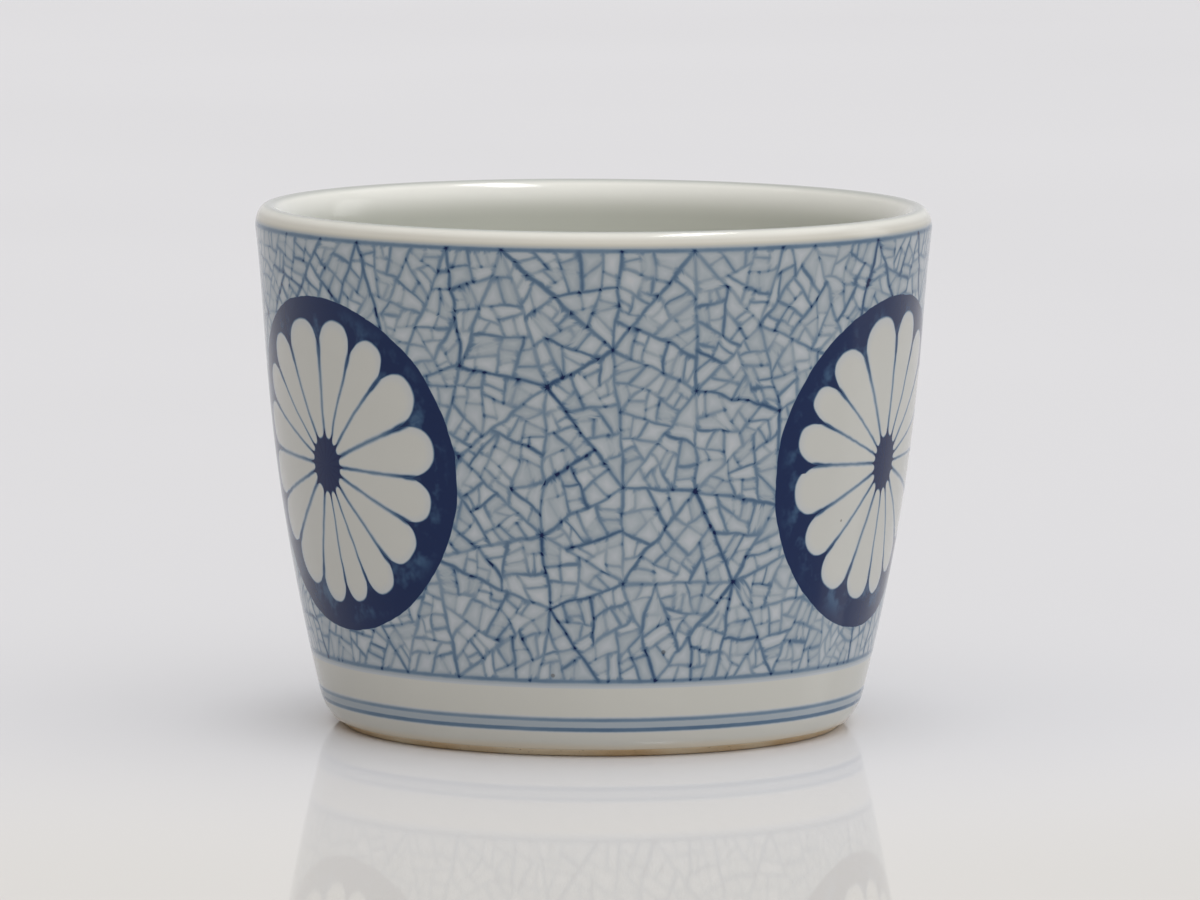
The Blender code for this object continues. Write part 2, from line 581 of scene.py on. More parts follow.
    def nearest(self, point: Point) -> Point:
        """The flower nearest to a point, on this copy of the plan."""
        copies = [(u + turn * self.width, v) for u, v in self.centres for turn in (0, 1)]
        return min(copies, key=lambda centre: math.dist(centre, point))

    def shatter(self, loop: list[Point], depth: int) -> None:
        """Break a shard in two with a stroke, and each half again until they are small.

        Args:
            loop: The shard, convex and counter-clockwise.
            depth: How many times it has been broken.
        """
        area = area_of(loop)
        if area < self.chance.uniform(*self.cell_area) or depth > 9:
            return
        flower = self.nearest(centre_of(loop))
        if all(self.flowers.reach(flower, point) < 0.93 for point in loop):
            return
        split = self.best_split(loop, area, depth)
        if split is None:
            return
        first, second, start, end = split
        if area > 34.0:
            rank = Rank.BRANCH
        elif area > 13.0:
            rank = Rank.TWIG if self.chance.random() < 0.7 else Rank.BRANCH
        else:
            rank = Rank.HAIR if self.chance.random() < 0.66 else Rank.TWIG
        self.add_stroke(start, end, rank)
        self.shatter(first, depth + 1)
        self.shatter(second, depth + 1)

    def best_split(self, loop: list[Point], area: float, depth: int
                   ) -> tuple[list[Point], list[Point], Point, Point] | None:
        """Try strokes across a shard and keep the best.

        Args:
            loop: The shard.
            area: Its area.
            depth: How many times it has been broken.

        Returns:
            The two halves and the stroke's ends, or nothing when no stroke fits.
        """
        count = len(loop)
        best = None
        best_score = 1e9
        for _ in range(24):
            i, j = sorted(self.chance.sample(range(count), 2))
            from_corner = depth < 4 and count > 3 and self.chance.random() < 0.3
            if from_corner and (j + 1) % count == i:
                continue
            start = loop[i] if from_corner else self.pick_on(loop[i], loop[(i + 1) % count])
            end = self.pick_on(loop[j], loop[(j + 1) % count])
            if start is None or end is None:
                continue
            first = [start] + loop[i + 1:j + 1] + [end]
            second = [end] + loop[j + 1:] + loop[:i + (0 if from_corner else 1)] + [start]
            share = area_of(first) / area
            length = math.dist(start, end)
            if min(len(first), len(second)) < 3 or not 0.24 < share < 0.76 or length < 0.9:
                continue
            slant = self.slant(start, end, loop[j], loop[(j + 1) % count])
            if not from_corner:
                slant = max(slant, self.slant(start, end, loop[i], loop[(i + 1) % count]))
            score = (0.6 * abs(share - 0.5) + 0.35 * slant + 0.9 * max(self.thinness(first), self.thinness(second))
                     + self.chance.uniform(0.0, 0.3))
            if score < best_score:
                best_score = score
                best = (first, second, start, end)
        return best

    @staticmethod
    def thinness(loop: Sequence[Point]) -> float:
        """How far a shard is from round: its edge's length against its size."""
        edge = sum(math.dist(a, b) for a, b in zip(loop, list(loop[1:]) + [loop[0]]))
        return edge / math.sqrt(max(area_of(loop), 1e-6)) - 3.5

    @staticmethod
    def slant(start: Point, end: Point, a: Point, b: Point) -> float:
        """How far a stroke is from square to a side: 0 when square, 1 when along it."""
        across = (end[0] - start[0], end[1] - start[1])
        along = (b[0] - a[0], b[1] - a[1])
        size = math.hypot(*across) * math.hypot(*along)
        return abs(across[0] * along[0] + across[1] * along[1]) / max(size, 1e-9)

    def paint(self) -> PlanMesh:
        """Shatter the whole field, and divide it along its strokes.

        Returns:
            The cells, with the strokes' width and strength at their corners.
        """
        for shard in self.shards():
            self.shatter(shard, 0)
        return self.divide()

    def divide(self) -> PlanMesh:
        """Cut the field along every stroke, the frame and the flowers' ovals."""
        points = [self.seam_point(share, 1) for share in self.shares]
        points += [self.seam_point(share, 0) for share in self.shares[::-1]]
        frame_count = len(points)
        edges = [(index, (index + 1) % frame_count) for index in range(frame_count)]
        level_edges = {len(self.shares) - 1, frame_count - 1}
        for stroke in self.strokes:
            edges.append((len(points), len(points) + 1))
            points.extend((stroke.start, stroke.end))
        oval_start = len(edges)
        sides = self.flowers.sides
        for centre in self.ovals():
            first = len(points)
            points.extend(self.flowers.edge(centre, index / sides) for index in range(sides))
            edges.extend((first + index, first + (index + 1) % sides) for index in range(sides))
        cut = delaunay_2d_cdt([Vector(point) for point in points], edges, [], 1, 2e-3, True)
        corners = [tuple(point) for point in cut[0]]
        triangles = [list(loop) for loop in cut[2]]
        triangles = [loop if area_of([corners[i] for i in loop]) > 0 else loop[::-1] for loop in triangles]
        origins = {(min(pair), max(pair)): list(origin) for pair, origin in zip(cut[1], cut[4]) if origin}
        net = TriangleNet(corners, triangles)
        fenced = {pair for pair, found in origins.items() if any(item < frame_count for item in found)}
        ringed = {pair for pair, found in origins.items() if any(item >= oval_start for item in found)}
        middle = (self.seam + self.width * 0.5, (self.low + self.high) * 0.5)
        kept = net.flood(middle, fenced)
        for centre in self.ovals():
            kept -= net.flood(centre, ringed)
        kinds: dict[tuple[int, int], tuple[float, float]] = {}
        for pair, found in origins.items():
            looks = []
            for item in found:
                if item < frame_count:
                    looks.append((0.18, 0.64) if item in level_edges else (0.15, 0.7))
                elif item < oval_start:
                    looks.append(self.stroke_at(self.strokes[item - frame_count], corners, pair))
            if looks:
                kinds[pair] = (max(look[0] for look in looks), max(look[1] for look in looks))
        blank = [0.0] * len(corners)
        mesh = PlanMesh(corners, net.cells(kept, set(origins)), blank, list(blank), list(blank))
        self.pool(mesh, kinds)
        self.refine(mesh, kinds)
        return mesh

    def ovals(self) -> list[Point]:
        """Centres of the flowers that lie in this turn of the plan."""
        copies = [(u + turn * self.width, v) for u, v in self.centres for turn in (-1, 0, 1)]
        return [centre for centre in copies if self.seam + 8.0 < centre[0] < self.seam + self.width - 8.0]

    @staticmethod
    def stroke_at(stroke: Stroke, corners: Sequence[Point], pair: tuple[int, int]) -> tuple[float, float]:
        """A stroke's half width and strength on one of its stretches."""
        middle = between(corners[pair[0]], corners[pair[1]], 0.5)
        share = math.dist(stroke.start, middle) / max(math.dist(stroke.start, stroke.end), 1e-6)
        width = stroke.rank.half_width * stroke.width_share * (1.06 - 0.22 * share)
        return width, stroke.rank.strength * stroke.strength_share * (1.0 - stroke.fade * share)

    def pool(self, mesh: PlanMesh, kinds: dict[tuple[int, int], tuple[float, float]]) -> None:
        """Give each corner its stroke's look, and let cobalt pool where strokes meet."""
        meets: dict[int, int] = {}
        for pair, (width, strength) in kinds.items():
            for corner in pair:
                meets[corner] = meets.get(corner, 0) + 1
                mesh.width[corner] = max(mesh.width[corner], width)
                mesh.strength[corner] = max(mesh.strength[corner], strength)
        for corner in sorted(meets):
            draw = self.chance.random()
            amount = self.chance.random()
            if meets[corner] >= 4 and mesh.strength[corner] > 0.6:
                mesh.pool[corner] = 0.75 + 0.25 * amount
            elif meets[corner] >= 3:
                mesh.pool[corner] = 0.6 + 0.4 * amount if draw < 0.3 else 0.35 * amount

    @staticmethod
    def refine(mesh: PlanMesh, kinds: dict[tuple[int, int], tuple[float, float]]) -> None:
        """Add corners near both ends of each long side, so that a pool stays short."""
        added: dict[tuple[int, int], list[int]] = {}
        cells = []
        for loop in mesh.cells:
            finer = []
            for a, b in zip(loop, loop[1:] + loop[:1]):
                pair = (min(a, b), max(a, b))
                if pair not in added:
                    start, end = mesh.points[pair[0]], mesh.points[pair[1]]
                    length = math.dist(start, end)
                    shares = [] if length < 0.8 else [0.5] if length < 1.5 else [0.6 / length, 1 - 0.6 / length]
                    added[pair] = list(range(len(mesh.points), len(mesh.points) + len(shares)))
                    width, strength = kinds.get(pair, (0.0, 0.0))
                    mesh.points.extend(between(start, end, share) for share in shares)
                    mesh.width.extend(width for _ in shares)
                    mesh.strength.extend(strength for _ in shares)
                    mesh.pool.extend(0.0 for _ in shares)
                finer.append(a)
                finer.extend(added[pair] if a == pair[0] else added[pair][::-1])
            cells.append(finer)
        mesh.cells = cells


class TriangleNet:
    """A net of triangles that can be flooded and traced into cells."""

    def __init__(self, corners: list[Point], triangles: list[list[int]]) -> None:
        """Note which triangles lie on each side.

        Args:
            corners: The corners.
            triangles: Counter-clockwise loops of three corners.
        """
        self.corners = corners
        self.triangles = triangles
        self.beside: dict[tuple[int, int], list[int]] = {}
        for number, loop in enumerate(triangles):
            for pair in self.sides(loop):
                self.beside.setdefault(pair, []).append(number)

    @staticmethod
    def sides(loop: Sequence[int]) -> list[tuple[int, int]]:
        """The loop's sides as ordered pairs."""
        return [(min(a, b), max(a, b)) for a, b in zip(loop, list(loop[1:]) + [loop[0]])]

    def flood(self, point: Point, walls: set[tuple[int, int]]) -> set[int]:
        """Every triangle that can be reached from the one nearest a point, without crossing a wall."""
        middles = [centre_of([self.corners[i] for i in loop]) for loop in self.triangles]
        start = min(range(len(middles)), key=lambda number: math.dist(middles[number], point))
        reached = {start}
        waiting = [start]
        while waiting:
            for pair in self.sides(self.triangles[waiting.pop()]):
                if pair in walls:
                    continue
                for number in self.beside[pair]:
                    if number not in reached:
                        reached.add(number)
                        waiting.append(number)
        return reached

    def cells(self, kept: set[int], strokes: set[tuple[int, int]]) -> list[list[int]]:
        """Join the kept triangles that no stroke parts, and trace each cell's loop."""
        loops = []
        waiting = sorted(kept)
        taken: set[int] = set()
        for first in waiting:
            if first in taken:
                continue
            group = [first]
            taken.add(first)
            links: dict[int, int] = {}
            count = 0
            for number in group:
                loop = self.triangles[number]
                for a, b in zip(loop, loop[1:] + loop[:1]):
                    pair = (min(a, b), max(a, b))
                    others = [other for other in self.beside[pair] if other != number]
                    if pair in strokes or not others or others[0] not in kept:
                        links[a] = b
                        count += 1
                    elif others[0] not in taken:
                        taken.add(others[0])
                        group.append(others[0])
            loop = [first_corner := next(iter(links))]
            while links[loop[-1]] != first_corner and len(loop) <= count:
                loop.append(links[loop[-1]])
            if len(loop) == count:
                loops.append(loop)
            else:
                loops.extend(self.triangles[number] for number in group)
        return loops


# ---------------------------------------------------------------------------------------------
# The pieces
# ---------------------------------------------------------------------------------------------


FAR = 5.0
Corner = tuple[int, float, float]


@dataclass
class GlazeCoat:
    """The glaze over the wall, the lip and the inside, with the painting's cells in its mesh.

    The crackle's strokes are sides of its faces, and every corner holds its distance from the
    nearest stroke, the stroke's half width and strength, and the wash of its cell.
    """

    form: CupForm
    chart: SkinChart
    flowers: FlowerPlan
    ice: CrackledIce
    thickness: float = 0.3 * MM
    columns: int = 192
    cell_inset: float = 0.45
    wander: float = 0.42
    flower_rings: int = 12
    positions: list[Vector] = field(default_factory=list)
    normals: list[Vector] = field(default_factory=list)
    values: dict[str, list[float]] = field(default_factory=dict)
    faces: list[list[Corner]] = field(default_factory=list)

    def add_point(self, u: float, v: float, depth: float = 0.0, gap: float = FAR, width: float = 0.2,
                  strength: float = 0.0, wash: float = 0.5, pool: float = 0.0) -> Corner:
        """Add one point of the plan.

        Args:
            u: Way round the cup.
            v: Way up the skin.
            depth: How far under the surface, in metres.
            gap: Distance from the nearest stroke.
            width: Half width of that stroke.
            strength: Strength of that stroke.
            wash: Tint of the cell, 0 to 1.
            pool: How much cobalt pooled there, 0 to 1.

        Returns:
            The point's number, with its place in the plan.
        """
        position, normal = self.chart.place(u, v, depth)
        self.positions.append(position)
        self.normals.append(-normal if depth > 0.0 else normal)
        for name, value in (("stroke_gap", gap), ("stroke_width", width), ("stroke_ink", strength),
                            ("cell_wash", wash), ("stroke_pool", pool)):
            self.values.setdefault(name, []).append(value)
        return (len(self.positions) - 1, u, v)

    def ring(self, start: float, v: float, depth: float = 0.0, gap: float = FAR, width: float = 0.2,
             strength: float = 0.0) -> list[Corner]:
        """Add a whole turn of points, its first point repeated at its end."""
        step = self.chart.ROUND_MM / self.columns
        corners = [self.add_point(start + step * index, v, depth, gap, width, strength)
                   for index in range(self.columns)]
        return corners + [(corners[0][0], start + self.chart.ROUND_MM, v)]

    def bridge(self, lower: Sequence[Corner], upper: Sequence[Corner]) -> None:
        """Join two rows of equal length with four-sided faces."""
        for index in range(len(lower) - 1):
            self.faces.append([lower[index], lower[index + 1], upper[index + 1], upper[index]])

    def zip_rows(self, lower: Sequence[Corner], upper: Sequence[Corner],
                 lower_keys: Sequence[float], upper_keys: Sequence[float]) -> None:
        """Join two rows of unequal length with triangles.

        Args:
            lower: The row that faces run along.
            upper: The row on its left.
            lower_keys: Rising places of the lower row's points.
            upper_keys: Rising places of the upper row's points, with the same ends.
        """
        i = j = 0
        while i < len(lower) - 1 or j < len(upper) - 1:
            advance = j == len(upper) - 1
            if i < len(lower) - 1 and not advance:
                advance = lower_keys[i] + lower_keys[i + 1] <= upper_keys[j] + upper_keys[j + 1]
            if advance:
                self.faces.append([lower[i], lower[i + 1], upper[j]])
                i += 1
            else:
                self.faces.append([lower[i], upper[j + 1], upper[j]])
                j += 1

    def build(self) -> bpy.types.Object:
        """Build the coat as one closed mesh.

        Returns:
            The piece.
        """
        plan = self.ice.paint()
        LOG.info("crackle: %d strokes, %d cells", len(self.ice.strokes), len(plan.cells))
        bottom, top, rims = self.lay_field(plan)
        self.lay_flowers(rims)
        self.lay_foot(bottom)
        self.lay_lip_and_inside(top)
        return self.finish()

    def lay_field(self, plan: PlanMesh) -> tuple[list[Corner], list[Corner], list[list[Corner]]]:
        """Lay the crackle's cells.

        Args:
            plan: The divided field.

        Returns:
            The field's lower row, its upper row, and its rims round the flowers.
        """
        used = sorted({corner for loop in plan.cells for corner in loop})
        left = {corner for corner in used if self.on_seam(plan.points[corner], 0)}
        numbers: dict[int, int] = {}
        right = []
        for corner in used:
            u, v = plan.points[corner]
            if self.on_seam((u, v), 1):
                right.append(corner)
                continue
            strength = plan.strength[corner]
            gap = 0.0 if strength > 0.0 else 0.55
            look = (gap, plan.width[corner], strength, 0.5, plan.pool[corner])
            numbers[corner] = self.add_point(*self.by_hand(u, v), 0.0, *look)[0]
        for corner in right:
            u, v = plan.points[corner]
            twin = min(left, key=lambda other: math.dist(plan.points[other], (u - self.ice.width, v)))
            numbers[corner] = numbers[twin]
        after: dict[int, int] = {}
        inner_sides = set()
        for loop in plan.cells:
            inner_sides.update(zip(loop, loop[1:] + loop[:1]))
            self.lay_cell([(numbers[i], *plan.points[i]) for i in loop])
        for a, b in inner_sides:
            if (b, a) not in inner_sides:
                after[a] = b
        return self.trace_rims(plan, numbers, after)

    def by_hand(self, u: float, v: float) -> Point:
        """Let the painter's hand wander, though not at the field's edges and the flowers."""
        centre = self.ice.nearest((u, v))
        share = min(1.0, max(0.0, (v - self.ice.low) / (self.ice.high - self.ice.low)))
        seams = [abs(u - self.ice.seam_point(share, side)[0]) for side in (0, 1)]
        room = min(v - self.ice.low, self.ice.high - v, *seams)
        freedom = smooth(0.2, 3.0, room) * smooth(1.0, 1.12, self.flowers.reach(centre, (u, v)))
        spot = Vector((u, v, 0.0)) * 0.42
        sway = noise.noise_vector(spot) * self.wander * freedom
        return (u + sway.x, v + sway.y)

    def on_seam(self, point: Point, side: int) -> bool:
        """Whether a point of the field lies on one copy of the seam."""
        share = (point[1] - self.ice.low) / (self.ice.high - self.ice.low)
        seam_u = self.ice.seam_point(min(1.0, max(0.0, share)), side)[0]
        return abs(point[0] - seam_u) < 4e-3

    def lay_cell(self, loop: list[Corner]) -> None:
        """Lay one cell: a band along its strokes, and a fan round its middle."""
        outline = [(u, v) for _, u, v in loop]
        centre = self.middle_of(outline)
        if centre is None:
            flat = [Vector((u, v, 0.0)) for u, v in outline]
            for triangle in tessellate_polygon([flat]):
                corners = [loop[index] for index in triangle]
                if area_of([(u, v) for _, u, v in corners]) < 0:
                    corners.reverse()
                self.faces.append(corners)
            return
        sides = list(zip(outline, outline[1:] + outline[:1]))
        reaches = [distance_to_line(centre, a, b) for a, b in sides]
        share = min(0.6, self.cell_inset / (sum(reaches) / len(reaches)))
        wash = self.ice.chance.random()
        inner = []
        widths, strengths = [], []
        for number, u, v in loop:
            place = between((u, v), centre, share)
            gap = min(self.gap_to(place, a, b) for a, b in sides)
            widths.append(self.values["stroke_width"][number])
            strengths.append(self.values["stroke_ink"][number])
            inner.append(self.add_point(*self.by_hand(*place), 0.0, gap, widths[-1], strengths[-1], wash))
        middle = self.add_point(*self.by_hand(*centre), 0.0, min(self.gap_to(centre, a, b) for a, b in sides),
                                sum(widths) / len(widths), sum(strengths) / len(strengths), wash)
        self.bridge(loop + loop[:1], inner + inner[:1])
        for a, b in zip(inner, inner[1:] + inner[:1]):
            self.faces.append([a, b, middle])

    @staticmethod
    def gap_to(point: Point, a: Point, b: Point) -> float:
        """Distance from a point to the stretch from a to b."""
        length = math.dist(a, b)
        if length < 1e-6:
            return math.dist(point, a)
        share = ((point[0] - a[0]) * (b[0] - a[0]) + (point[1] - a[1]) * (b[1] - a[1])) / length**2
        return math.dist(point, between(a, b, min(1.0, max(0.0, share))))

    @staticmethod
    def middle_of(outline: list[Point]) -> Point | None:
        """A point that sees all of an outline, or nothing when there is none."""
        if area_of(outline) < 0.02:
            return None
        base = centre_of(outline)
        tries = [base] + [between(corner, base, 0.6) for corner in outline]
        for centre in tries:
            if all(area_of([a, b, centre]) > 1e-4 for a, b in zip(outline, outline[1:] + outline[:1])):
                return centre
        return None

    def trace_rims(self, plan: PlanMesh, numbers: dict[int, int], after: dict[int, int]
                   ) -> tuple[list[Corner], list[Corner], list[list[Corner]]]:
        """Trace the field's outer edge and its edges round the flowers.

        Args:
            plan: The divided field.
            numbers: Each plan corner's point.
            after: The corner that follows each corner on an edge.

        Returns:
            The field's lower row, its upper row, and its rims round the flowers.
        """
        rims = []
        bottom: list[Corner] = []
        top: list[Corner] = []
        waiting = dict(sorted(after.items()))
        while waiting:
            start = next(iter(waiting))
            loop = [start]
            while waiting[loop[-1]] != start:
                loop.append(waiting[loop[-1]])
            for corner in loop:
                del waiting[corner]
            places = [(numbers[i], *plan.points[i]) for i in loop]
            if min(v for _, _, v in places) > self.ice.low + 1.0:
                rims.append(places)
                continue
            bottom = sorted((c for c in places if abs(c[2] - self.ice.low) < 2e-3), key=lambda c: c[1])
            top = sorted((c for c in places if abs(c[2] - self.ice.high) < 2e-3), key=lambda c: c[1])
        return bottom, top, rims

    def lay_flowers(self, rims: list[list[Corner]]) -> None:
        """Lay the ground of each flower inside the crackle's rim, as rings round its middle."""
        for rim in rims:
            middle = (sum(u for _, u, _ in rim) / len(rim), sum(v for _, _, v in rim) / len(rim))
            centre = min(self.ice.ovals(), key=lambda other: math.dist(other, middle))
            keyed = sorted((self.turn_of(centre, corner), corner) for corner in rim)
            outer = [corner for _, corner in keyed] + [keyed[0][1]]
            keys = [key for key, _ in keyed] + [keyed[0][0] + 1.0]
            sides = self.flowers.sides
            offset = keys[0]
            row_keys = [offset + index / sides for index in range(sides + 1)]
            for ring_number in range(1, self.flower_rings):
                share = 1.0 - ring_number / self.flower_rings
                row = []
                for key in row_keys[:-1]:
                    edge = self.flowers.edge(centre, key)
                    place = between(centre, edge, share)
                    row.append(self.add_point(*place))
                row.append(row[0])
                self.zip_rows(outer, row, keys, row_keys)
                outer, keys = row, row_keys
            tip = self.add_point(*centre)
            for a, b in zip(outer, outer[1:]):
                self.faces.append([a, b, tip])

    def turn_of(self, centre: Point, corner: Corner) -> float:
        """Where a corner lies round a flower, as a share of a turn."""
        _, u, v = corner
        return (math.atan2((v - centre[1]) / self.flowers.half_height,
                           (u - centre[0]) / self.flowers.half_width) / math.tau) % 1.0

    def lay_foot(self, bottom: list[Corner]) -> None:
        """Lay the plain band under the border line, and the bead at the glaze's edge."""
        start = bottom[0][1]
        near = self.ice.low - 0.6
        line = {"width": 0.18, "strength": 0.64}
        rows = [self.ring(start, near * index / 12) for index in range(12)]
        rows.append(self.ring(start, near, gap=0.6, **line))
        for lower, upper in zip(rows, rows[1:]):
            self.bridge(lower, upper)
        self.zip_rows(rows[-1], bottom, [c[1] for c in rows[-1]], [c[1] for c in bottom])
        self.lay_underside(rows[0])

    def lay_underside(self, edge: list[Corner]) -> None:
        """Close the coat under the glaze's edge, along the clay and over to the floor's middle."""
        start = edge[0][1]
        upper = edge
        middle_point, middle_normal = self.chart.section(0.0)
        along = Vector((-middle_normal.y, middle_normal.x))
        bead_centre = middle_point - middle_normal * (self.thickness / 2)
        for step in (1, 2, 3):
            angle = math.pi * step / 4
            way = middle_normal * math.cos(angle) - along * math.sin(angle)
            spot = bead_centre + way * (self.thickness / 2)
            lower = self.turned_ring(start, spot, way)
            self.bridge(lower, upper)
            upper = lower
        high, end = self.ice.high, self.chart.length
        stops = [high * index / 24 for index in range(24)]
        stops += [high + 9.5 * index / 26 for index in range(26)]
        stops += [high + 9.5 + (end - high - 9.5) * index / 36 for index in range(36)]
        for v in stops:
            lower = self.ring(start, v, self.thickness)
            self.bridge(lower, upper)
            upper = lower
        tip = self.add_point(start, self.chart.length, self.thickness)
        for a, b in zip(upper, upper[1:]):
            self.faces.append([b, a, tip])

    def turned_ring(self, start: float, spot: Vector, way: Vector) -> list[Corner]:
        """Add a turn of points at a radius and height, with their normal."""
        step = self.chart.ROUND_MM / self.columns
        corners = []
        for index in range(self.columns):
            u = start + step * index
            corner = self.add_point(u, 0.0)
            angle = u / self.chart.REFERENCE_RADIUS_MM
            sine, cosine = math.sin(angle), math.cos(angle)
            self.positions[corner[0]] = Vector((spot.x * sine, -spot.x * cosine, spot.y))
            self.normals[corner[0]] = Vector((way.x * sine, -way.x * cosine, way.y))
            corners.append(corner)
        return corners + [(corners[0][0], start + self.chart.ROUND_MM, 0.0)]

    def lay_lip_and_inside(self, top: list[Corner]) -> None:
        """Lay the lip, the inner wall and the floor."""
        start = top[0][1]
        high, end = self.ice.high, self.chart.length
        first = self.ring(start, high + 0.55, gap=0.55, width=0.18, strength=0.64)
        self.zip_rows(top, first, [c[1] for c in top], [c[1] for c in first])
        inner_wall = high + 9.5
        corner = end - 40.0
        floor = end - 19.0
        stops = [high + 0.55 + (inner_wall - high - 0.55) * index / 26 for index in range(1, 27)]
        stops += [inner_wall + (corner - inner_wall) * index / 18 for index in range(1, 19)]
        stops += [corner + (floor - corner) * index / 20 for index in range(1, 21)]
        stops += [floor + (end - floor) * index / 10 for index in range(1, 10)]
        lower = first
        for v in stops:
            upper = self.ring(start, v)
            self.bridge(lower, upper)
            lower = upper
        tip = self.add_point(start, end)
        for a, b in zip(lower, lower[1:]):
            self.faces.append([a, b, tip])

    def finish(self) -> bpy.types.Object:
        """Make the piece from the gathered points and faces."""
        mesh = bpy.data.meshes.new("cup_glaze")
        mesh.from_pydata(self.positions, [], [[corner[0] for corner in face] for face in self.faces])
        for name, values in self.values.items():
            mesh.attributes.new(name, "FLOAT", "POINT").data.foreach_set("value", values)
        wrap = mesh.uv_layers.new(name="wrap")
        wrap.uv.foreach_set("vector", [part for face in self.faces for corner in face for part in corner[1:]])
        mesh.normals_split_custom_set_from_vertices(self.normals)
        piece = bpy.data.objects.new("cup_glaze", mesh)
        bpy.context.scene.collection.objects.link(piece)
        return piece


@dataclass
class TurnedPiece:
    """A piece turned on the wheel: an outline swept round the cup's axis."""

    name: str
    steps: int = 192

    def turn(self, outline: Sequence[Vector]) -> bpy.types.Object:
        """Turn an outline into a closed piece.

        Args:
            outline: Radius and height of each point, with both ends on the axis.

        Returns:
            The piece.
        """
        bpy.ops.object.select_all(action="DESELECT")
        bpy.ops.mesh.primitive_plane_add(size=1.0 * MM, location=(0.0, 0.0, 0.0))
        piece = bpy.context.object
        piece.name = self.name
        piece.data.name = self.name
        bpy.ops.object.mode_set(mode="EDIT")
        bpy.ops.mesh.select_all(action="SELECT")
        bpy.ops.mesh.merge(type="CENTER")
        bpy.ops.transform.translate(value=(outline[0].x, 0.0, outline[0].y))
        for before, after in zip(outline, outline[1:]):
            step = after - before
            bpy.ops.mesh.extrude_vertices_move(TRANSFORM_OT_translate={"value": (step.x, 0.0, step.y)})
        bpy.ops.mesh.select_all(action="SELECT")
        bpy.ops.mesh.spin(steps=self.steps, angle=math.tau, center=(0.0, 0.0, 0.0), axis=(0.0, 0.0, 1.0))
        bpy.ops.mesh.select_all(action="SELECT")
        bpy.ops.mesh.remove_doubles(threshold=2e-6)
        bpy.ops.mesh.normals_make_consistent(inside=False)
        bpy.ops.mesh.faces_shade_smooth()
        bpy.ops.object.mode_set(mode="OBJECT")
        return piece

    @staticmethod
    def set_inwards(outline: Sequence[Vector], depth: float) -> list[Vector]:
        """Move an outline to its left by a depth, its points on the axis staying there.

        Args:
            outline: The outline, with the air on its right.
            depth: How far to move it.

        Returns:
            The moved outline.
        """
        moved = []
        last = len(outline) - 1
        for index, point in enumerate(outline):
            along = outline[min(index + 1, last)] - outline[max(index - 1, 0)]
            if point.x == 0.0:
                along = Vector((math.copysign(1.0, along.x), 0.0))
            moved.append(point + Vector((-along.y, along.x)).normalized() * depth)
        return moved


@dataclass
class FootGlaze(TurnedPiece):
    """The island of glaze inside the foot ring."""

    ring_inner_radius: float = 27.1 * MM
    edge_height: float = 1.0 * MM
    top_radius: float = 25.3 * MM
    top_height: float = 3.1 * MM
    dome: float = 0.3 * MM
    thickness: float = 0.3 * MM

    def skin(self) -> list[Vector]:
        """The glazed surface, from the middle of the recess out to the foot ring."""
        centre = Vector((0.0, self.top_height + self.dome))
        shoulder = Vector((self.top_radius, self.top_height))
        edge = Vector((self.ring_inner_radius, self.edge_height))
        depth = shoulder.y - edge.y
        reach = edge.x - shoulder.x
        points = [centre.lerp(shoulder, index / 8) for index in range(8)]
        points += CupForm.curve(shoulder, shoulder + Vector((reach * 0.6, 0.0)),
                                edge + Vector((0.0, depth * 0.6)), edge, 14)
        return points + [edge]

    def build(self) -> bpy.types.Object:
        """Turn the island of glaze."""
        skin = self.skin()
        return self.turn(skin + self.set_inwards(skin, self.thickness)[::-1])


@dataclass
class PorcelainBody(TurnedPiece):
    """The clay under the glazes, with the bare foot ring that the cup stands on."""

    clay_depth: float = 0.33 * MM
    ring_outer_radius: float = 31.0 * MM
    ring_inner_radius: float = 27.5 * MM
    ring_edge: float = 0.4 * MM

    def rounded(self, corner: Vector, start: Vector, end: Vector, count: int = 6) -> list[Vector]:
        """A worn corner of the foot ring."""
        return CupForm.curve(start, start.lerp(corner, 0.6), end.lerp(corner, 0.6), end, count) + [end]

    def build(self, skin: Sequence[Vector], recess: Sequence[Vector]) -> bpy.types.Object:
        """Turn the clay body.

        Args:
            skin: The cup's glazed surface, from the foot to the middle of the floor.
            recess: The foot's glazed surface, from its middle to the foot ring.

        Returns:
            The piece.
        """
        outer, inner, edge = self.ring_outer_radius, self.ring_inner_radius, self.ring_edge
        under_glaze = self.set_inwards(skin, self.clay_depth)[::2]
        inside_foot = self.set_inwards(recess, self.clay_depth)
        foot = self.rounded(Vector((inner, 0.0)), Vector((inner, edge)), Vector((inner + edge, 0.0)))
        foot += self.rounded(Vector((outer, 0.0)), Vector((outer - edge, 0.0)), Vector((outer, edge)))
        outline = inside_foot + foot + under_glaze
        if outline[-1].x > 0.0:
            outline.append(self.set_inwards(skin, self.clay_depth)[-1])
        return self.turn(outline)


# ---------------------------------------------------------------------------------------------
# The finishes
# ---------------------------------------------------------------------------------------------

Value = bpy.types.NodeSocket | float


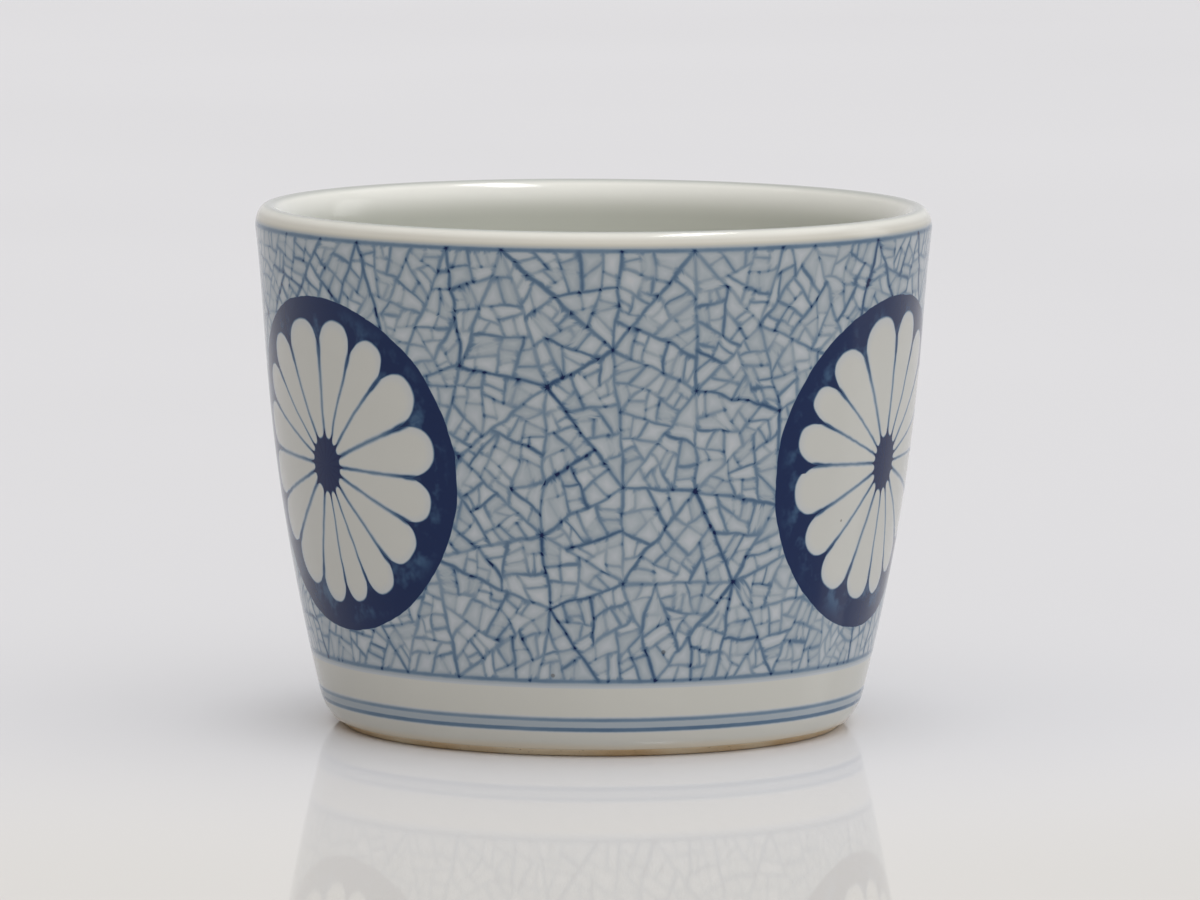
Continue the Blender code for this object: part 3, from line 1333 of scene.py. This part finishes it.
class Graph:
    """Adds shader nodes to one tree, and links them as they are made."""

    def __init__(self, tree: bpy.types.NodeTree) -> None:
        """Start on a tree."""
        self.tree = tree

    def node(self, kind: str, **settings: object) -> bpy.types.Node:
        """Add a node with its settings."""
        made = self.tree.nodes.new(kind)
        for name, value in settings.items():
            setattr(made, name, value)
        return made

    def plug(self, socket: bpy.types.NodeSocket, value: object) -> None:
        """Link a value to a socket, or set it there when it is a constant."""
        if isinstance(value, bpy.types.NodeSocket):
            self.tree.links.new(value, socket)
        else:
            socket.default_value = value

    def math(self, operation: str, *values: Value) -> bpy.types.NodeSocket:
        """The result of a Math node."""
        made = self.node("ShaderNodeMath", operation=operation)
        for socket, value in zip(made.inputs, values):
            self.plug(socket, value)
        return made.outputs["Value"]

    def step(self, value: Value, low: Value, high: Value, start: float = 0.0, end: float = 1.0
             ) -> bpy.types.NodeSocket:
        """A smooth step from `start` at `low` to `end` at `high`."""
        made = self.node("ShaderNodeMapRange", interpolation_type="SMOOTHSTEP")
        for name, part in (("Value", value), ("From Min", low), ("From Max", high), ("To Min", start),
                           ("To Max", end)):
            self.plug(made.inputs[name], part)
        return made.outputs["Result"]

    def noise(self, place: Value, scale: float, detail: float = 2.0, roughness: float = 0.5
              ) -> bpy.types.NodeSocket:
        """Noise from 0 to 1, with `scale` features to the metre."""
        made = self.node("ShaderNodeTexNoise")
        self.plug(made.inputs["Vector"], place)
        made.inputs["Scale"].default_value = scale
        made.inputs["Detail"].default_value = detail
        made.inputs["Roughness"].default_value = roughness
        return made.outputs["Fac"]

    def sway(self, noise: Value, reach: float) -> bpy.types.NodeSocket:
        """Noise turned to a value between -reach and reach."""
        return self.math("MULTIPLY_ADD", noise, 2.0 * reach, -reach)

    def blend(self, share: Value, first: object, second: object) -> bpy.types.NodeSocket:
        """A mix of two colours."""
        made = self.node("ShaderNodeMix", data_type="RGBA")
        self.plug(made.inputs[0], share)
        self.plug(made.inputs[6], first)
        self.plug(made.inputs[7], second)
        return made.outputs[2]

    def tint(self, first: object, second: object, share: Value = 1.0) -> bpy.types.NodeSocket:
        """A colour multiplied by another."""
        made = self.node("ShaderNodeMix", data_type="RGBA", blend_type="MULTIPLY")
        self.plug(made.inputs[0], share)
        self.plug(made.inputs[6], first)
        self.plug(made.inputs[7], second)
        return made.outputs[2]

    def ramp(self, value: Value, stops: Sequence[tuple[float, Colour]]) -> bpy.types.NodeSocket:
        """A colour ramp through the given stops."""
        made = self.node("ShaderNodeValToRGB")
        band = made.color_ramp
        band.elements[0].position, band.elements[0].color = stops[0]
        band.elements[1].position, band.elements[1].color = stops[-1]
        for position, colour in stops[1:-1]:
            band.elements.new(position).color = colour
        self.plug(made.inputs["Fac"], value)
        return made.outputs["Color"]

    def attribute(self, name: str) -> bpy.types.NodeSocket:
        """A value that the piece's mesh carries."""
        return self.node("ShaderNodeAttribute", attribute_name=name).outputs["Fac"]

    def place(self) -> bpy.types.NodeSocket:
        """Where a point lies on its piece, in metres."""
        return self.node("ShaderNodeTexCoord").outputs["Object"]


@dataclass(frozen=True)
class GlassSkin:
    """Fired glaze: the slow ripple and the pinholes of its surface, as one shared node group."""

    name: str = "fired_glaze_skin"

    def group(self) -> bpy.types.NodeTree:
        """The node group, built once."""
        known = bpy.data.node_groups.get(self.name)
        if known:
            return known
        tree = bpy.data.node_groups.new(self.name, "ShaderNodeTree")
        face = tree.interface
        for name, default in (("Ripple", 0.05), ("Gloss", 0.1)):
            socket = face.new_socket(name, in_out="INPUT", socket_type="NodeSocketFloat")
            socket.default_value = default
        face.new_socket("Place", in_out="INPUT", socket_type="NodeSocketVector")
        face.new_socket("Roughness", in_out="OUTPUT", socket_type="NodeSocketFloat")
        face.new_socket("Specks", in_out="OUTPUT", socket_type="NodeSocketFloat")
        face.new_socket("Normal", in_out="OUTPUT", socket_type="NodeSocketVector")
        graph = Graph(tree)
        given = graph.node("NodeGroupInput").outputs
        result = graph.node("NodeGroupOutput").inputs
        slow = graph.noise(given["Place"], 130.0, 1.5)
        fine = graph.noise(given["Place"], 900.0, 2.0)
        height = graph.math("MULTIPLY_ADD", fine, 0.06, slow)
        bump = graph.node("ShaderNodeBump")
        graph.plug(bump.inputs["Strength"], given["Ripple"])
        bump.inputs["Distance"].default_value = 0.4 * MM
        graph.plug(bump.inputs["Height"], height)
        dots = graph.node("ShaderNodeTexVoronoi", feature="F1")
        graph.plug(dots.inputs["Vector"], given["Place"])
        dots.inputs["Scale"].default_value = 230.0
        spare = graph.node("ShaderNodeSeparateColor")
        graph.plug(spare.inputs[0], dots.outputs["Color"])
        few = graph.step(spare.outputs[0], 0.86, 0.9)
        size = graph.math("MULTIPLY_ADD", spare.outputs[1], 0.030, 0.012)
        soft = graph.math("MULTIPLY", size, 1.9)
        speck = graph.step(dots.outputs["Distance"], size, soft, 1.0, 0.0)
        graph.plug(result["Specks"], graph.math("MULTIPLY", speck, few))
        haze = graph.math("MULTIPLY_ADD", fine, 0.05, given["Gloss"])
        graph.plug(result["Roughness"], haze)
        graph.plug(result["Normal"], bump.outputs["Normal"])
        return tree

    def lay(self, graph: Graph, place: Value, ripple: float, gloss: float) -> bpy.types.Node:
        """Place the group in a material.

        Args:
            graph: The material's graph.
            place: Object coordinates.
            ripple: Strength of the ripple.
            gloss: Lowest roughness.

        Returns:
            The group's node.
        """
        made = graph.node("ShaderNodeGroup", node_tree=self.group())
        graph.plug(made.inputs["Place"], place)
        made.inputs["Ripple"].default_value = ripple
        made.inputs["Gloss"].default_value = gloss
        return made


@dataclass(frozen=True)
class Cobalt:
    """Cobalt blue under the glaze, from a bare ground to the fullest brush."""

    ground: Colour = (0.555, 0.546, 0.498, 1.0)
    breath: Colour = (0.478, 0.502, 0.528, 1.0)
    pale: Colour = (0.318, 0.363, 0.398, 1.0)
    middle: Colour = (0.163, 0.230, 0.305, 1.0)
    slate: Colour = (0.091, 0.150, 0.232, 1.0)
    deep: Colour = (0.037, 0.079, 0.160, 1.0)
    full: Colour = (0.005, 0.013, 0.065, 1.0)

    def colour(self, graph: Graph, ink: Value) -> bpy.types.NodeSocket:
        """The colour that an amount of cobalt fires to."""
        stops = ((0.0, self.ground), (0.14, self.breath), (0.4, self.pale), (0.6, self.middle),
                 (0.75, self.slate), (0.88, self.deep), (1.0, self.full))
        return graph.ramp(ink, stops)


@dataclass(frozen=True)
class PaintedGlaze:
    """White glaze over the cobalt painting, with painted shade and light graded over its lip and inside."""

    chart: SkinChart
    flowers: FlowerPlan
    cobalt: Cobalt = Cobalt()
    petals: int = 16
    ring_outer: float = 20.75
    petal_tip: float = 17.7
    petal_shoulder: float = 12.9
    heart: float = 2.65
    foot_lines: tuple[float, float] = (3.62, 4.82)
    tan: Colour = srgb(210, 190, 158)
    speck: Colour = srgb(70, 60, 50)
    # The lip and inside colours are painted light and shade: darker low on the lip's outside, painted shade on the
    # crest, painted light just inside the lip, and painted shade deeper in, there mixed with the glaze's greener tint.
    lip_painted_shade: Colour = (0.560, 0.540, 0.470, 1.0)
    lip_painted_half_shade: Colour = (0.690, 0.668, 0.600, 1.0)
    lip_white: Colour = (0.835, 0.825, 0.765, 1.0)
    crest: Colour = (0.515, 0.528, 0.500, 1.0)
    inside_painted_light: Colour = (0.940, 0.935, 0.880, 1.0)
    inside_tint_and_painted_shade: Colour = (0.625, 0.634, 0.572, 1.0)
    lip_line: float = 62.4

    def wrapped(self, graph: Graph) -> tuple[bpy.types.NodeSocket, bpy.types.NodeSocket]:
        """The way round and the way up the skin, from the piece's own map."""
        plan = graph.node("ShaderNodeUVMap", uv_map="wrap")
        parts = graph.node("ShaderNodeSeparateXYZ")
        graph.plug(parts.inputs[0], plan.outputs["UV"])
        return parts.outputs["X"], parts.outputs["Y"]

    def crackle(self, graph: Graph, place: Value) -> bpy.types.NodeSocket:
        """The crackle's strokes, with a soft halo and each cell's wash."""
        gap = graph.attribute("stroke_gap")
        width = graph.attribute("stroke_width")
        ink = graph.attribute("stroke_ink")
        wash = graph.attribute("cell_wash")
        pool = graph.attribute("stroke_pool")
        edge = graph.noise(place, 1500.0, 2.0)
        swell = graph.noise(place, 420.0, 1.0)
        reach = graph.math("ADD", width, graph.sway(swell, 0.07))
        wander = graph.math("ADD", gap, graph.sway(edge, 0.05))
        line = graph.step(wander, graph.math("SUBTRACT", reach, 0.14), graph.math("ADD", reach, 0.24), 1.0, 0.0)
        load = graph.math("MULTIPLY_ADD", graph.noise(place, 230.0, 2.0), 0.36, 0.88)
        line_ink = graph.math("MULTIPLY", ink, load)
        blob = graph.step(graph.math("ADD", pool, graph.sway(edge, 0.10)), 0.28, 0.85)
        line = graph.math("MAXIMUM", line, blob)
        line_ink = graph.math("MULTIPLY_ADD", blob, 0.26, line_ink)
        halo = graph.math("MULTIPLY", graph.step(gap, 0.1, 1.05, 0.33, 0.0), ink)
        field = graph.step(gap, 1.6, 3.0, 1.0, 0.0)
        breath = graph.math("MULTIPLY", graph.math("MULTIPLY_ADD", wash, 0.15, 0.11), field)
        ground = graph.math("ADD", halo, breath)
        drawn = graph.math("MULTIPLY", graph.math("SUBTRACT", line_ink, ground), line)
        return graph.math("ADD", ground, drawn)

    def flower(self, graph: Graph, u: Value, v: Value, place: Value) -> bpy.types.NodeSocket:
        """The petalled flowers: a full ring, white petals parted by thin lines, and a heart.

        Args:
            graph: The material's graph.
            u: Way round the cup.
            v: Way up the skin.
            place: Object coordinates.

        Returns:
            The amount of cobalt.
        """
        spacing = self.chart.ROUND_MM / self.flowers.count
        first_u, first_v = self.flowers.centres(self.chart)[0]
        along = graph.math("SUBTRACT", u, first_u)
        number = graph.math("FLOOR", graph.math("MULTIPLY_ADD", along, 1.0 / spacing, 0.5))
        across = graph.math("WRAP", along, spacing / 2, -spacing / 2)
        squash = self.flowers.half_height / self.flowers.half_width
        wobble = graph.sway(graph.noise(place, 190.0, 2.0), 0.34)
        jitter = graph.sway(graph.noise(place, 900.0, 1.0), 0.07)
        x = graph.math("MULTIPLY_ADD", across, squash, wobble)
        y = graph.math("ADD", graph.math("SUBTRACT", v, first_v), jitter)
        reach = graph.math("SQRT", graph.math("MULTIPLY_ADD", x, x, graph.math("MULTIPLY", y, y)))
        angle = graph.math("ARCTAN2", y, x)
        turn = graph.math("MULTIPLY", angle, self.petals / math.tau)
        for waves, strength, start in ((2.0, 0.10, 0.9), (3.0, 0.09, 2.1), (5.0, 0.07, 4.0)):
            phase = graph.math("MULTIPLY_ADD", number, 2.3 * waves, start)
            wave = graph.math("SINE", graph.math("MULTIPLY_ADD", angle, waves, phase))
            turn = graph.math("MULTIPLY_ADD", wave, strength, turn)
        petal = graph.node("ShaderNodeTexWhiteNoise", noise_dimensions="1D")
        graph.plug(petal.inputs["W"], graph.math("MULTIPLY_ADD", number, 31.0, graph.math("FLOOR", turn)))
        chance = petal.outputs["Value"]
        side = graph.math("ABSOLUTE", graph.math("MULTIPLY_ADD", graph.math("FRACT", turn), 2.0, -1.0))
        tip = graph.math("MULTIPLY_ADD", chance, 0.9, graph.step(y, -4.0, 14.0, self.petal_tip - 0.7, self.petal_tip + 0.45))
        rise = graph.math("DIVIDE", graph.math("SUBTRACT", reach, self.petal_shoulder),
                          graph.math("SUBTRACT", tip, self.petal_shoulder))
        rise = graph.math("MAXIMUM", rise, 0.0)
        bulge = graph.math("ADD", graph.math("POWER", side, 2.35), graph.math("POWER", rise, 2.35))
        inside = graph.math("SUBTRACT", 1.0, graph.math("POWER", bulge, 1.0 / 2.35))
        petal_mask = graph.step(graph.math("MULTIPLY", inside, 2.9), -0.05, 0.16)

        edge = graph.math("ADD", reach, graph.sway(graph.noise(place, 330.0, 2.0), 0.12))
        disc = graph.step(edge, self.ring_outer - 0.06, self.ring_outer + 0.12, 1.0, 0.0)
        water = graph.noise(place, 260.0, 3.0, 0.6)
        near_petals = graph.step(reach, self.petal_tip, self.ring_outer, 1.0, 0.0)
        thin = graph.math("MULTIPLY", graph.step(water, 0.5, 0.72), near_petals)
        body = graph.math("MULTIPLY_ADD", thin, -0.14, 0.985)
        ring = graph.math("MULTIPLY", graph.math("SUBTRACT", 1.0, petal_mask), body)

        half_arc = math.pi / self.petals
        gap = graph.math("MULTIPLY", graph.math("SUBTRACT", 1.0, side), graph.math("MULTIPLY", reach, half_arc))
        gap = graph.math("ADD", gap, graph.sway(graph.noise(place, 700.0, 1.0), 0.05))
        valley = graph.step(reach, 12.9, 14.3)
        width = graph.math("MULTIPLY_ADD", valley, 0.10, 0.21)
        low = graph.math("SUBTRACT", width, 0.18)
        high = graph.math("ADD", width, 0.22)
        line = graph.step(gap, low, high, 1.0, 0.0)
        full = graph.math("MAXIMUM", graph.step(reach, 10.5, 13.6), graph.step(reach, 3.0, 7.5, 0.8, 0.0))
        load = graph.math("MULTIPLY_ADD", full, 0.30, 0.53)
        line = graph.math("MULTIPLY", line, graph.math("MULTIPLY", load, graph.math("MULTIPLY_ADD", chance, 0.2, 0.9)))
        breath = graph.math("MULTIPLY", graph.step(inside, 0.0, 0.3, 0.10, 0.02), petal_mask)

        spike = graph.math("MULTIPLY_ADD", graph.math("POWER", side, 3.0), 0.95, self.heart)
        tall = graph.math("MULTIPLY", y, 0.78)
        oval = graph.math("SQRT", graph.math("MULTIPLY_ADD", x, x, graph.math("MULTIPLY", tall, tall)))
        heart_edge = graph.math("SUBTRACT", oval, spike)
        heart = graph.step(heart_edge, -0.1, 0.2, 1.0, 0.0)
        heart = graph.math("MULTIPLY", heart, 0.97)
        ink = graph.math("MAXIMUM", graph.math("MAXIMUM", ring, line), heart)
        return graph.math("MULTIPLY", graph.math("ADD", ink, breath), disc)

    def foot_band(self, graph: Graph, v: Value, place: Value) -> bpy.types.NodeSocket:
        """The double line above the foot, and the thin wash between its lines."""
        low, high = (self.chart.v_at_height(height) for height in self.foot_lines)
        drift = graph.math("ADD", v, graph.sway(graph.noise(place, 60.0, 2.0), 0.07))
        drift = graph.math("ADD", drift, graph.sway(graph.noise(place, 1200.0, 1.0), 0.03))
        load = graph.math("MULTIPLY_ADD", graph.noise(place, 90.0, 3.0), 0.34, 0.49)
        total = None
        for centre, solid, faded, share in ((low, 0.12, 0.50, 1.08), (high, 0.05, 0.55, 0.92)):
            away = graph.math("ABSOLUTE", graph.math("SUBTRACT", drift, centre))
            strength = graph.math("MULTIPLY", load, share)
            line = graph.math("MULTIPLY", graph.step(away, solid, faded, 1.0, 0.0), strength)
            total = line if total is None else graph.math("MAXIMUM", total, line)
        wash_in = graph.step(drift, low - 0.1, low + 0.1)
        wash_out = graph.step(drift, high - 0.1, high + 0.1, 1.0, 0.0)
        wash = graph.math("MULTIPLY", graph.math("MULTIPLY", wash_in, wash_out), 0.36)
        return graph.math("MAXIMUM", total, wash)

    def material(self) -> bpy.types.Material:
        """Build the material."""
        made = bpy.data.materials.new("painted_glaze")
        made.use_nodes = True
        graph = Graph(made.node_tree)
        surface = made.node_tree.nodes["Principled BSDF"]
        place = graph.place()
        u, v = self.wrapped(graph)
        ink = graph.math("MAXIMUM", self.crackle(graph, place), self.flower(graph, u, v, place))
        ink = graph.math("MAXIMUM", ink, self.foot_band(graph, v, place))
        colour = self.cobalt.colour(graph, ink)

        lip = max(range(len(self.chart.points)), key=lambda index: self.chart.points[index].y)
        crest_v = self.chart.lengths[lip]
        line_v = self.chart.v_at_height(self.lip_line)
        # Painted shade and light down the lip: its rounding darkens towards the lip line, the crest is shaded, the
        # inner lip is lit and the inside shades deeper down.
        lip_painted_shading = self.lip_painted_shade
        for low, high, shade in ((line_v + 0.5, line_v + 1.1, self.lip_painted_half_shade),
                                 (line_v + 1.1, line_v + 1.9, self.lip_white),
                                 (crest_v - 0.9, crest_v - 0.1, self.crest),
                                 (crest_v + 0.4, crest_v + 1.5, self.inside_painted_light),
                                 (crest_v + 2.2, crest_v + 6.0, self.inside_tint_and_painted_shade)):
            lip_painted_shading = graph.blend(graph.step(v, low, high), lip_painted_shading, shade)
        colour = graph.blend(graph.step(v, line_v + 0.2, line_v + 0.8), colour, lip_painted_shading)
        cloud = graph.ramp(graph.noise(place, 45.0, 3.0), ((0.3, (0.965, 0.965, 0.965, 1.0)), (0.7, (1.0, 1.0, 1.0, 1.0))))
        colour = graph.tint(colour, cloud)

        edge_wander = graph.sway(graph.noise(place, 55.0, 2.0), 0.5)
        flash = graph.step(graph.math("ADD", v, edge_wander), 0.05, 1.3, 0.42, 0.0)
        colour = graph.blend(flash, colour, self.tan)
        skin = GlassSkin().lay(graph, place, 0.05, 0.09)
        specks = graph.math("MULTIPLY", skin.outputs["Specks"], 0.55)
        colour = graph.blend(specks, colour, self.speck)
        graph.plug(surface.inputs["Base Color"], colour)
        graph.plug(surface.inputs["Roughness"], skin.outputs["Roughness"])
        graph.plug(surface.inputs["Normal"], skin.outputs["Normal"])
        surface.inputs["Specular IOR Level"].default_value = 0.15
        return made


@dataclass(frozen=True)
class FootGlazeFinish:
    """Plain white glaze, slightly warm where it pooled in the foot's recess."""

    white: Colour = srgb(208, 206, 192)
    pooled: Colour = srgb(184, 190, 174)
    speck: Colour = srgb(84, 72, 58)

    def material(self) -> bpy.types.Material:
        """Build the material."""
        made = bpy.data.materials.new("foot_glaze")
        made.use_nodes = True
        graph = Graph(made.node_tree)
        surface = made.node_tree.nodes["Principled BSDF"]
        place = graph.place()
        skin = GlassSkin().lay(graph, place, 0.08, 0.12)
        cloud = graph.step(graph.noise(place, 60.0, 3.0), 0.3, 0.7)
        colour = graph.blend(cloud, self.white, self.pooled)
        specks = graph.math("MULTIPLY", skin.outputs["Specks"], 0.6)
        graph.plug(surface.inputs["Base Color"], graph.blend(specks, colour, self.speck))
        graph.plug(surface.inputs["Roughness"], skin.outputs["Roughness"])
        graph.plug(surface.inputs["Normal"], skin.outputs["Normal"])
        surface.inputs["Specular IOR Level"].default_value = 0.28
        return made


@dataclass(frozen=True)
class BarePorcelain:
    """Fired porcelain without glaze: warm, dull and finely gritty."""

    clay: Colour = srgb(216, 200, 172)
    toasted: Colour = srgb(198, 168, 126)
    grit: Colour = srgb(92, 72, 54)

    def material(self) -> bpy.types.Material:
        """Build the material."""
        made = bpy.data.materials.new("bare_porcelain")
        made.use_nodes = True
        graph = Graph(made.node_tree)
        surface = made.node_tree.nodes["Principled BSDF"]
        place = graph.place()
        toast = graph.step(graph.noise(place, 70.0, 3.0), 0.35, 0.65)
        grain = graph.noise(place, 2600.0, 3.0, 0.65)
        colour = graph.blend(toast, self.clay, self.toasted)
        colour = graph.blend(graph.step(grain, 0.62, 0.72, 0.0, 0.6), colour, self.grit)
        bump = graph.node("ShaderNodeBump")
        bump.inputs["Strength"].default_value = 0.35
        bump.inputs["Distance"].default_value = 0.1 * MM
        graph.plug(bump.inputs["Height"], grain)
        graph.plug(surface.inputs["Base Color"], colour)
        graph.plug(surface.inputs["Roughness"], graph.math("MULTIPLY_ADD", grain, 0.25, 0.55))
        graph.plug(surface.inputs["Normal"], bump.outputs["Normal"])
        return made


# ---------------------------------------------------------------------------------------------
# The studio
# ---------------------------------------------------------------------------------------------


@dataclass
class Studio:
    """A pale table, soft light from above and the camera."""

    camera_distance: float = 1.0779
    camera_height: float = 0.1527
    pitch: float = math.radians(6.286)
    yaw: float = math.radians(0.0487)
    roll: float = math.radians(0.274)
    lens: float = 261.65
    floor_size: float = 9.0
    floor_near: Colour = srgb(236, 233, 229)
    # Painted reflection: the table's colour far off, paler and bluer.
    floor_far_painted_reflection: Colour = srgb(239, 238, 241)
    backdrop: Colour = srgb(228, 227, 230)
    fill: float = 0.37
    mirrored: float = 0.96
    polish: float = 0.27
    # How much the table glows with painted light away from the foot.
    floor_painted_glow: float = 0.34

    def lay_floor(self) -> bpy.types.Object:
        """Lay the table, a wide sheet with a faint polish, glowing with painted light away from the cup's foot."""
        bpy.ops.object.select_all(action="DESELECT")
        bpy.ops.mesh.primitive_plane_add(size=self.floor_size, location=(0.0, 0.0, -0.00002))
        floor = bpy.context.object
        floor.name = "table"
        bpy.ops.object.transform_apply(location=True)
        bpy.ops.object.mode_set(mode="EDIT")
        bpy.ops.mesh.select_all(action="SELECT")
        bpy.ops.mesh.subdivide(number_cuts=8)
        bpy.ops.object.mode_set(mode="OBJECT")
        made = bpy.data.materials.new("table_top")
        made.use_nodes = True
        graph = Graph(made.node_tree)
        surface = made.node_tree.nodes["Principled BSDF"]
        place = graph.place()
        parts = graph.node("ShaderNodeSeparateXYZ")
        graph.plug(parts.inputs[0], place)
        # The table is painted paler and bluer far off, a painted reflection of the backdrop; near the cup it keeps its
        # own warm white.
        floor_painted_reflection = graph.blend(graph.step(parts.outputs["Y"], -0.14, 0.0), self.floor_near, self.floor_far_painted_reflection)
        cloud = graph.step(graph.noise(place, 3.0, 2.0), 0.3, 0.7, 0.975, 1.0)
        matt = graph.node("ShaderNodeBsdfDiffuse")
        graph.plug(matt.inputs["Color"], graph.tint(floor_painted_reflection, cloud))
        # Painted light: the table glows, though it is no lamp, except close round the foot, where its real shade
        # stays.
        painted_glow_emission = graph.node("ShaderNodeEmission")
        graph.plug(painted_glow_emission.inputs["Color"], graph.tint(floor_painted_reflection, cloud))
        lit = graph.node("ShaderNodeMixShader")
        spread = graph.node("ShaderNodeVectorMath", operation="LENGTH")
        graph.plug(spread.inputs[0], place)
        graph.plug(lit.inputs[0], graph.step(spread.outputs["Value"], 0.030, 0.055, 0.0, self.floor_painted_glow))
        graph.plug(lit.inputs[1], matt.outputs[0])
        graph.plug(lit.inputs[2], painted_glow_emission.outputs[0])
        polish = graph.node("ShaderNodeBsdfGlossy")
        polish.inputs["Roughness"].default_value = 0.03
        both = graph.node("ShaderNodeMixShader")
        both.inputs[0].default_value = self.polish
        graph.plug(both.inputs[1], lit.outputs[0])
        graph.plug(both.inputs[2], polish.outputs[0])
        graph.plug(made.node_tree.nodes["Material Output"].inputs["Surface"], both.outputs[0])
        made.node_tree.nodes.remove(surface)
        floor.data.materials.append(made)
        return floor

    def light(self, name: str, place: tuple[float, float, float], target: tuple[float, float, float],
              size: tuple[float, float], power: float) -> None:
        """Hang one soft box that shows as a gleam on the glaze.

        Args:
            name: Its name.
            place: Its middle.
            target: The point that it faces.
            size: Its width and height.
            power: Its power in watts.
        """
        lamp = bpy.data.lights.new(name, "AREA")
        lamp.shape = "RECTANGLE"
        lamp.size, lamp.size_y = size
        lamp.energy = power
        box = bpy.data.objects.new(name, lamp)
        box.location = place
        aim = Vector(target) - Vector(place)
        box.rotation_euler = aim.to_track_quat("-Z", "Y").to_euler()
        box.visible_diffuse = False
        bpy.context.scene.collection.objects.link(box)

    def light_room(self) -> None:
        """Light the table from above, and fill the room with pale light."""
        world = bpy.data.worlds.new("room")
        bpy.context.scene.world = world
        world.use_nodes = True
        graph = Graph(world.node_tree)
        air = world.node_tree.nodes["Background"]
        rays = graph.node("ShaderNodeLightPath")
        way = graph.node("ShaderNodeSeparateXYZ")
        graph.plug(way.inputs[0], graph.node("ShaderNodeTexCoord").outputs["Generated"])
        level = graph.math("MAXIMUM", rays.outputs["Is Camera Ray"],
                           graph.math("MULTIPLY", rays.outputs["Is Glossy Ray"], self.mirrored))
        soft = graph.math("MULTIPLY_ADD", way.outputs["X"], 0.21, self.fill)
        soft = graph.math("MULTIPLY_ADD", way.outputs["Y"], -0.22, soft)
        level = graph.math("MAXIMUM", level, soft)
        cast = graph.blend(graph.step(way.outputs["X"], -0.9, 0.9), (1.0, 0.985, 0.945, 1.0), (0.96, 0.99, 1.0, 1.0))
        graph.plug(air.inputs["Color"], graph.tint(self.backdrop, cast))
        graph.plug(air.inputs["Strength"], level)
        sun = bpy.data.lights.new("ceiling", "SUN")
        sun.energy = 2.0
        sun.angle = math.radians(100.0)
        sun.color = (1.0, 0.985, 0.96)
        ceiling = bpy.data.objects.new("ceiling", sun)
        ceiling.rotation_euler = Vector((-0.13, 0.12, -1.0)).to_track_quat("-Z", "Y").to_euler()
        bpy.context.scene.collection.objects.link(ceiling)
        self.light("strip_above", (0.35, 0.0, 1.15), (0.0, 0.0, 0.05), (0.6, 0.2), 10.0)
        self.light("window_right", (1.3, 0.5, 0.5), (0.0, 0.0, 0.05), (0.45, 0.6), 2.0)

    def place_camera(self) -> None:
        """Place the camera in front of the cup, looking slightly down."""
        lens = bpy.data.cameras.new("view")
        lens.lens = self.lens
        lens.sensor_width = 36.0
        lens.sensor_fit = "HORIZONTAL"
        lens.clip_start = 0.05
        lens.clip_end = 50.0
        camera = bpy.data.objects.new("view", lens)
        turn = Matrix.Rotation(-self.yaw, 4, "Z") @ Matrix.Rotation(math.pi / 2 - self.pitch, 4, "X")
        turn = turn @ Matrix.Rotation(self.roll, 4, "Z")
        place = Matrix.Translation((0.0, -self.camera_distance, self.camera_height))
        camera.matrix_world = place @ turn
        bpy.context.scene.collection.objects.link(camera)
        bpy.context.scene.camera = camera

    def set_up(self) -> None:
        """Set up the whole studio."""
        self.lay_floor()
        self.light_room()
        self.place_camera()
        bpy.context.scene.view_settings.view_transform = "Standard"


def dress(piece: bpy.types.Object, node: str, material: bpy.types.Material) -> None:
    """Give a piece its finish, and say what it stands for."""
    piece.data.materials.clear()
    piece.data.materials.append(material)
    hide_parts(node)
    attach(piece, "root")
    LOG.info("%s: %d faces, for %s", piece.name, len(piece.data.polygons), node)


def main() -> None:
    """Build the cup, and the studio that it stands in."""
    logging.basicConfig(level=logging.INFO, format="%(name)s: %(message)s")
    form = CupForm.from_frame()
    chart = SkinChart(form.skin())
    flowers = FlowerPlan()
    centres = flowers.centres(chart)
    seam = math.radians(124.8) * chart.REFERENCE_RADIUS_MM
    ice = CrackledIce(chart.ROUND_MM, chart.v_at_height(9.7), chart.v_at_height(62.4), seam, flowers, centres)

    glaze = GlazeCoat(form, chart, flowers, ice).build()
    dress(glaze, "glaze_coat", PaintedGlaze(chart, flowers).material())
    island = FootGlaze("foot_glaze")
    dress(island.build(), "foot_recess_glaze", FootGlazeFinish().material())
    body = PorcelainBody("clay_body").build(form.skin(), island.skin())
    dress(body, "porcelain_body", BarePorcelain().material())
    Studio().set_up()


if __name__ == "__main__":
    main()
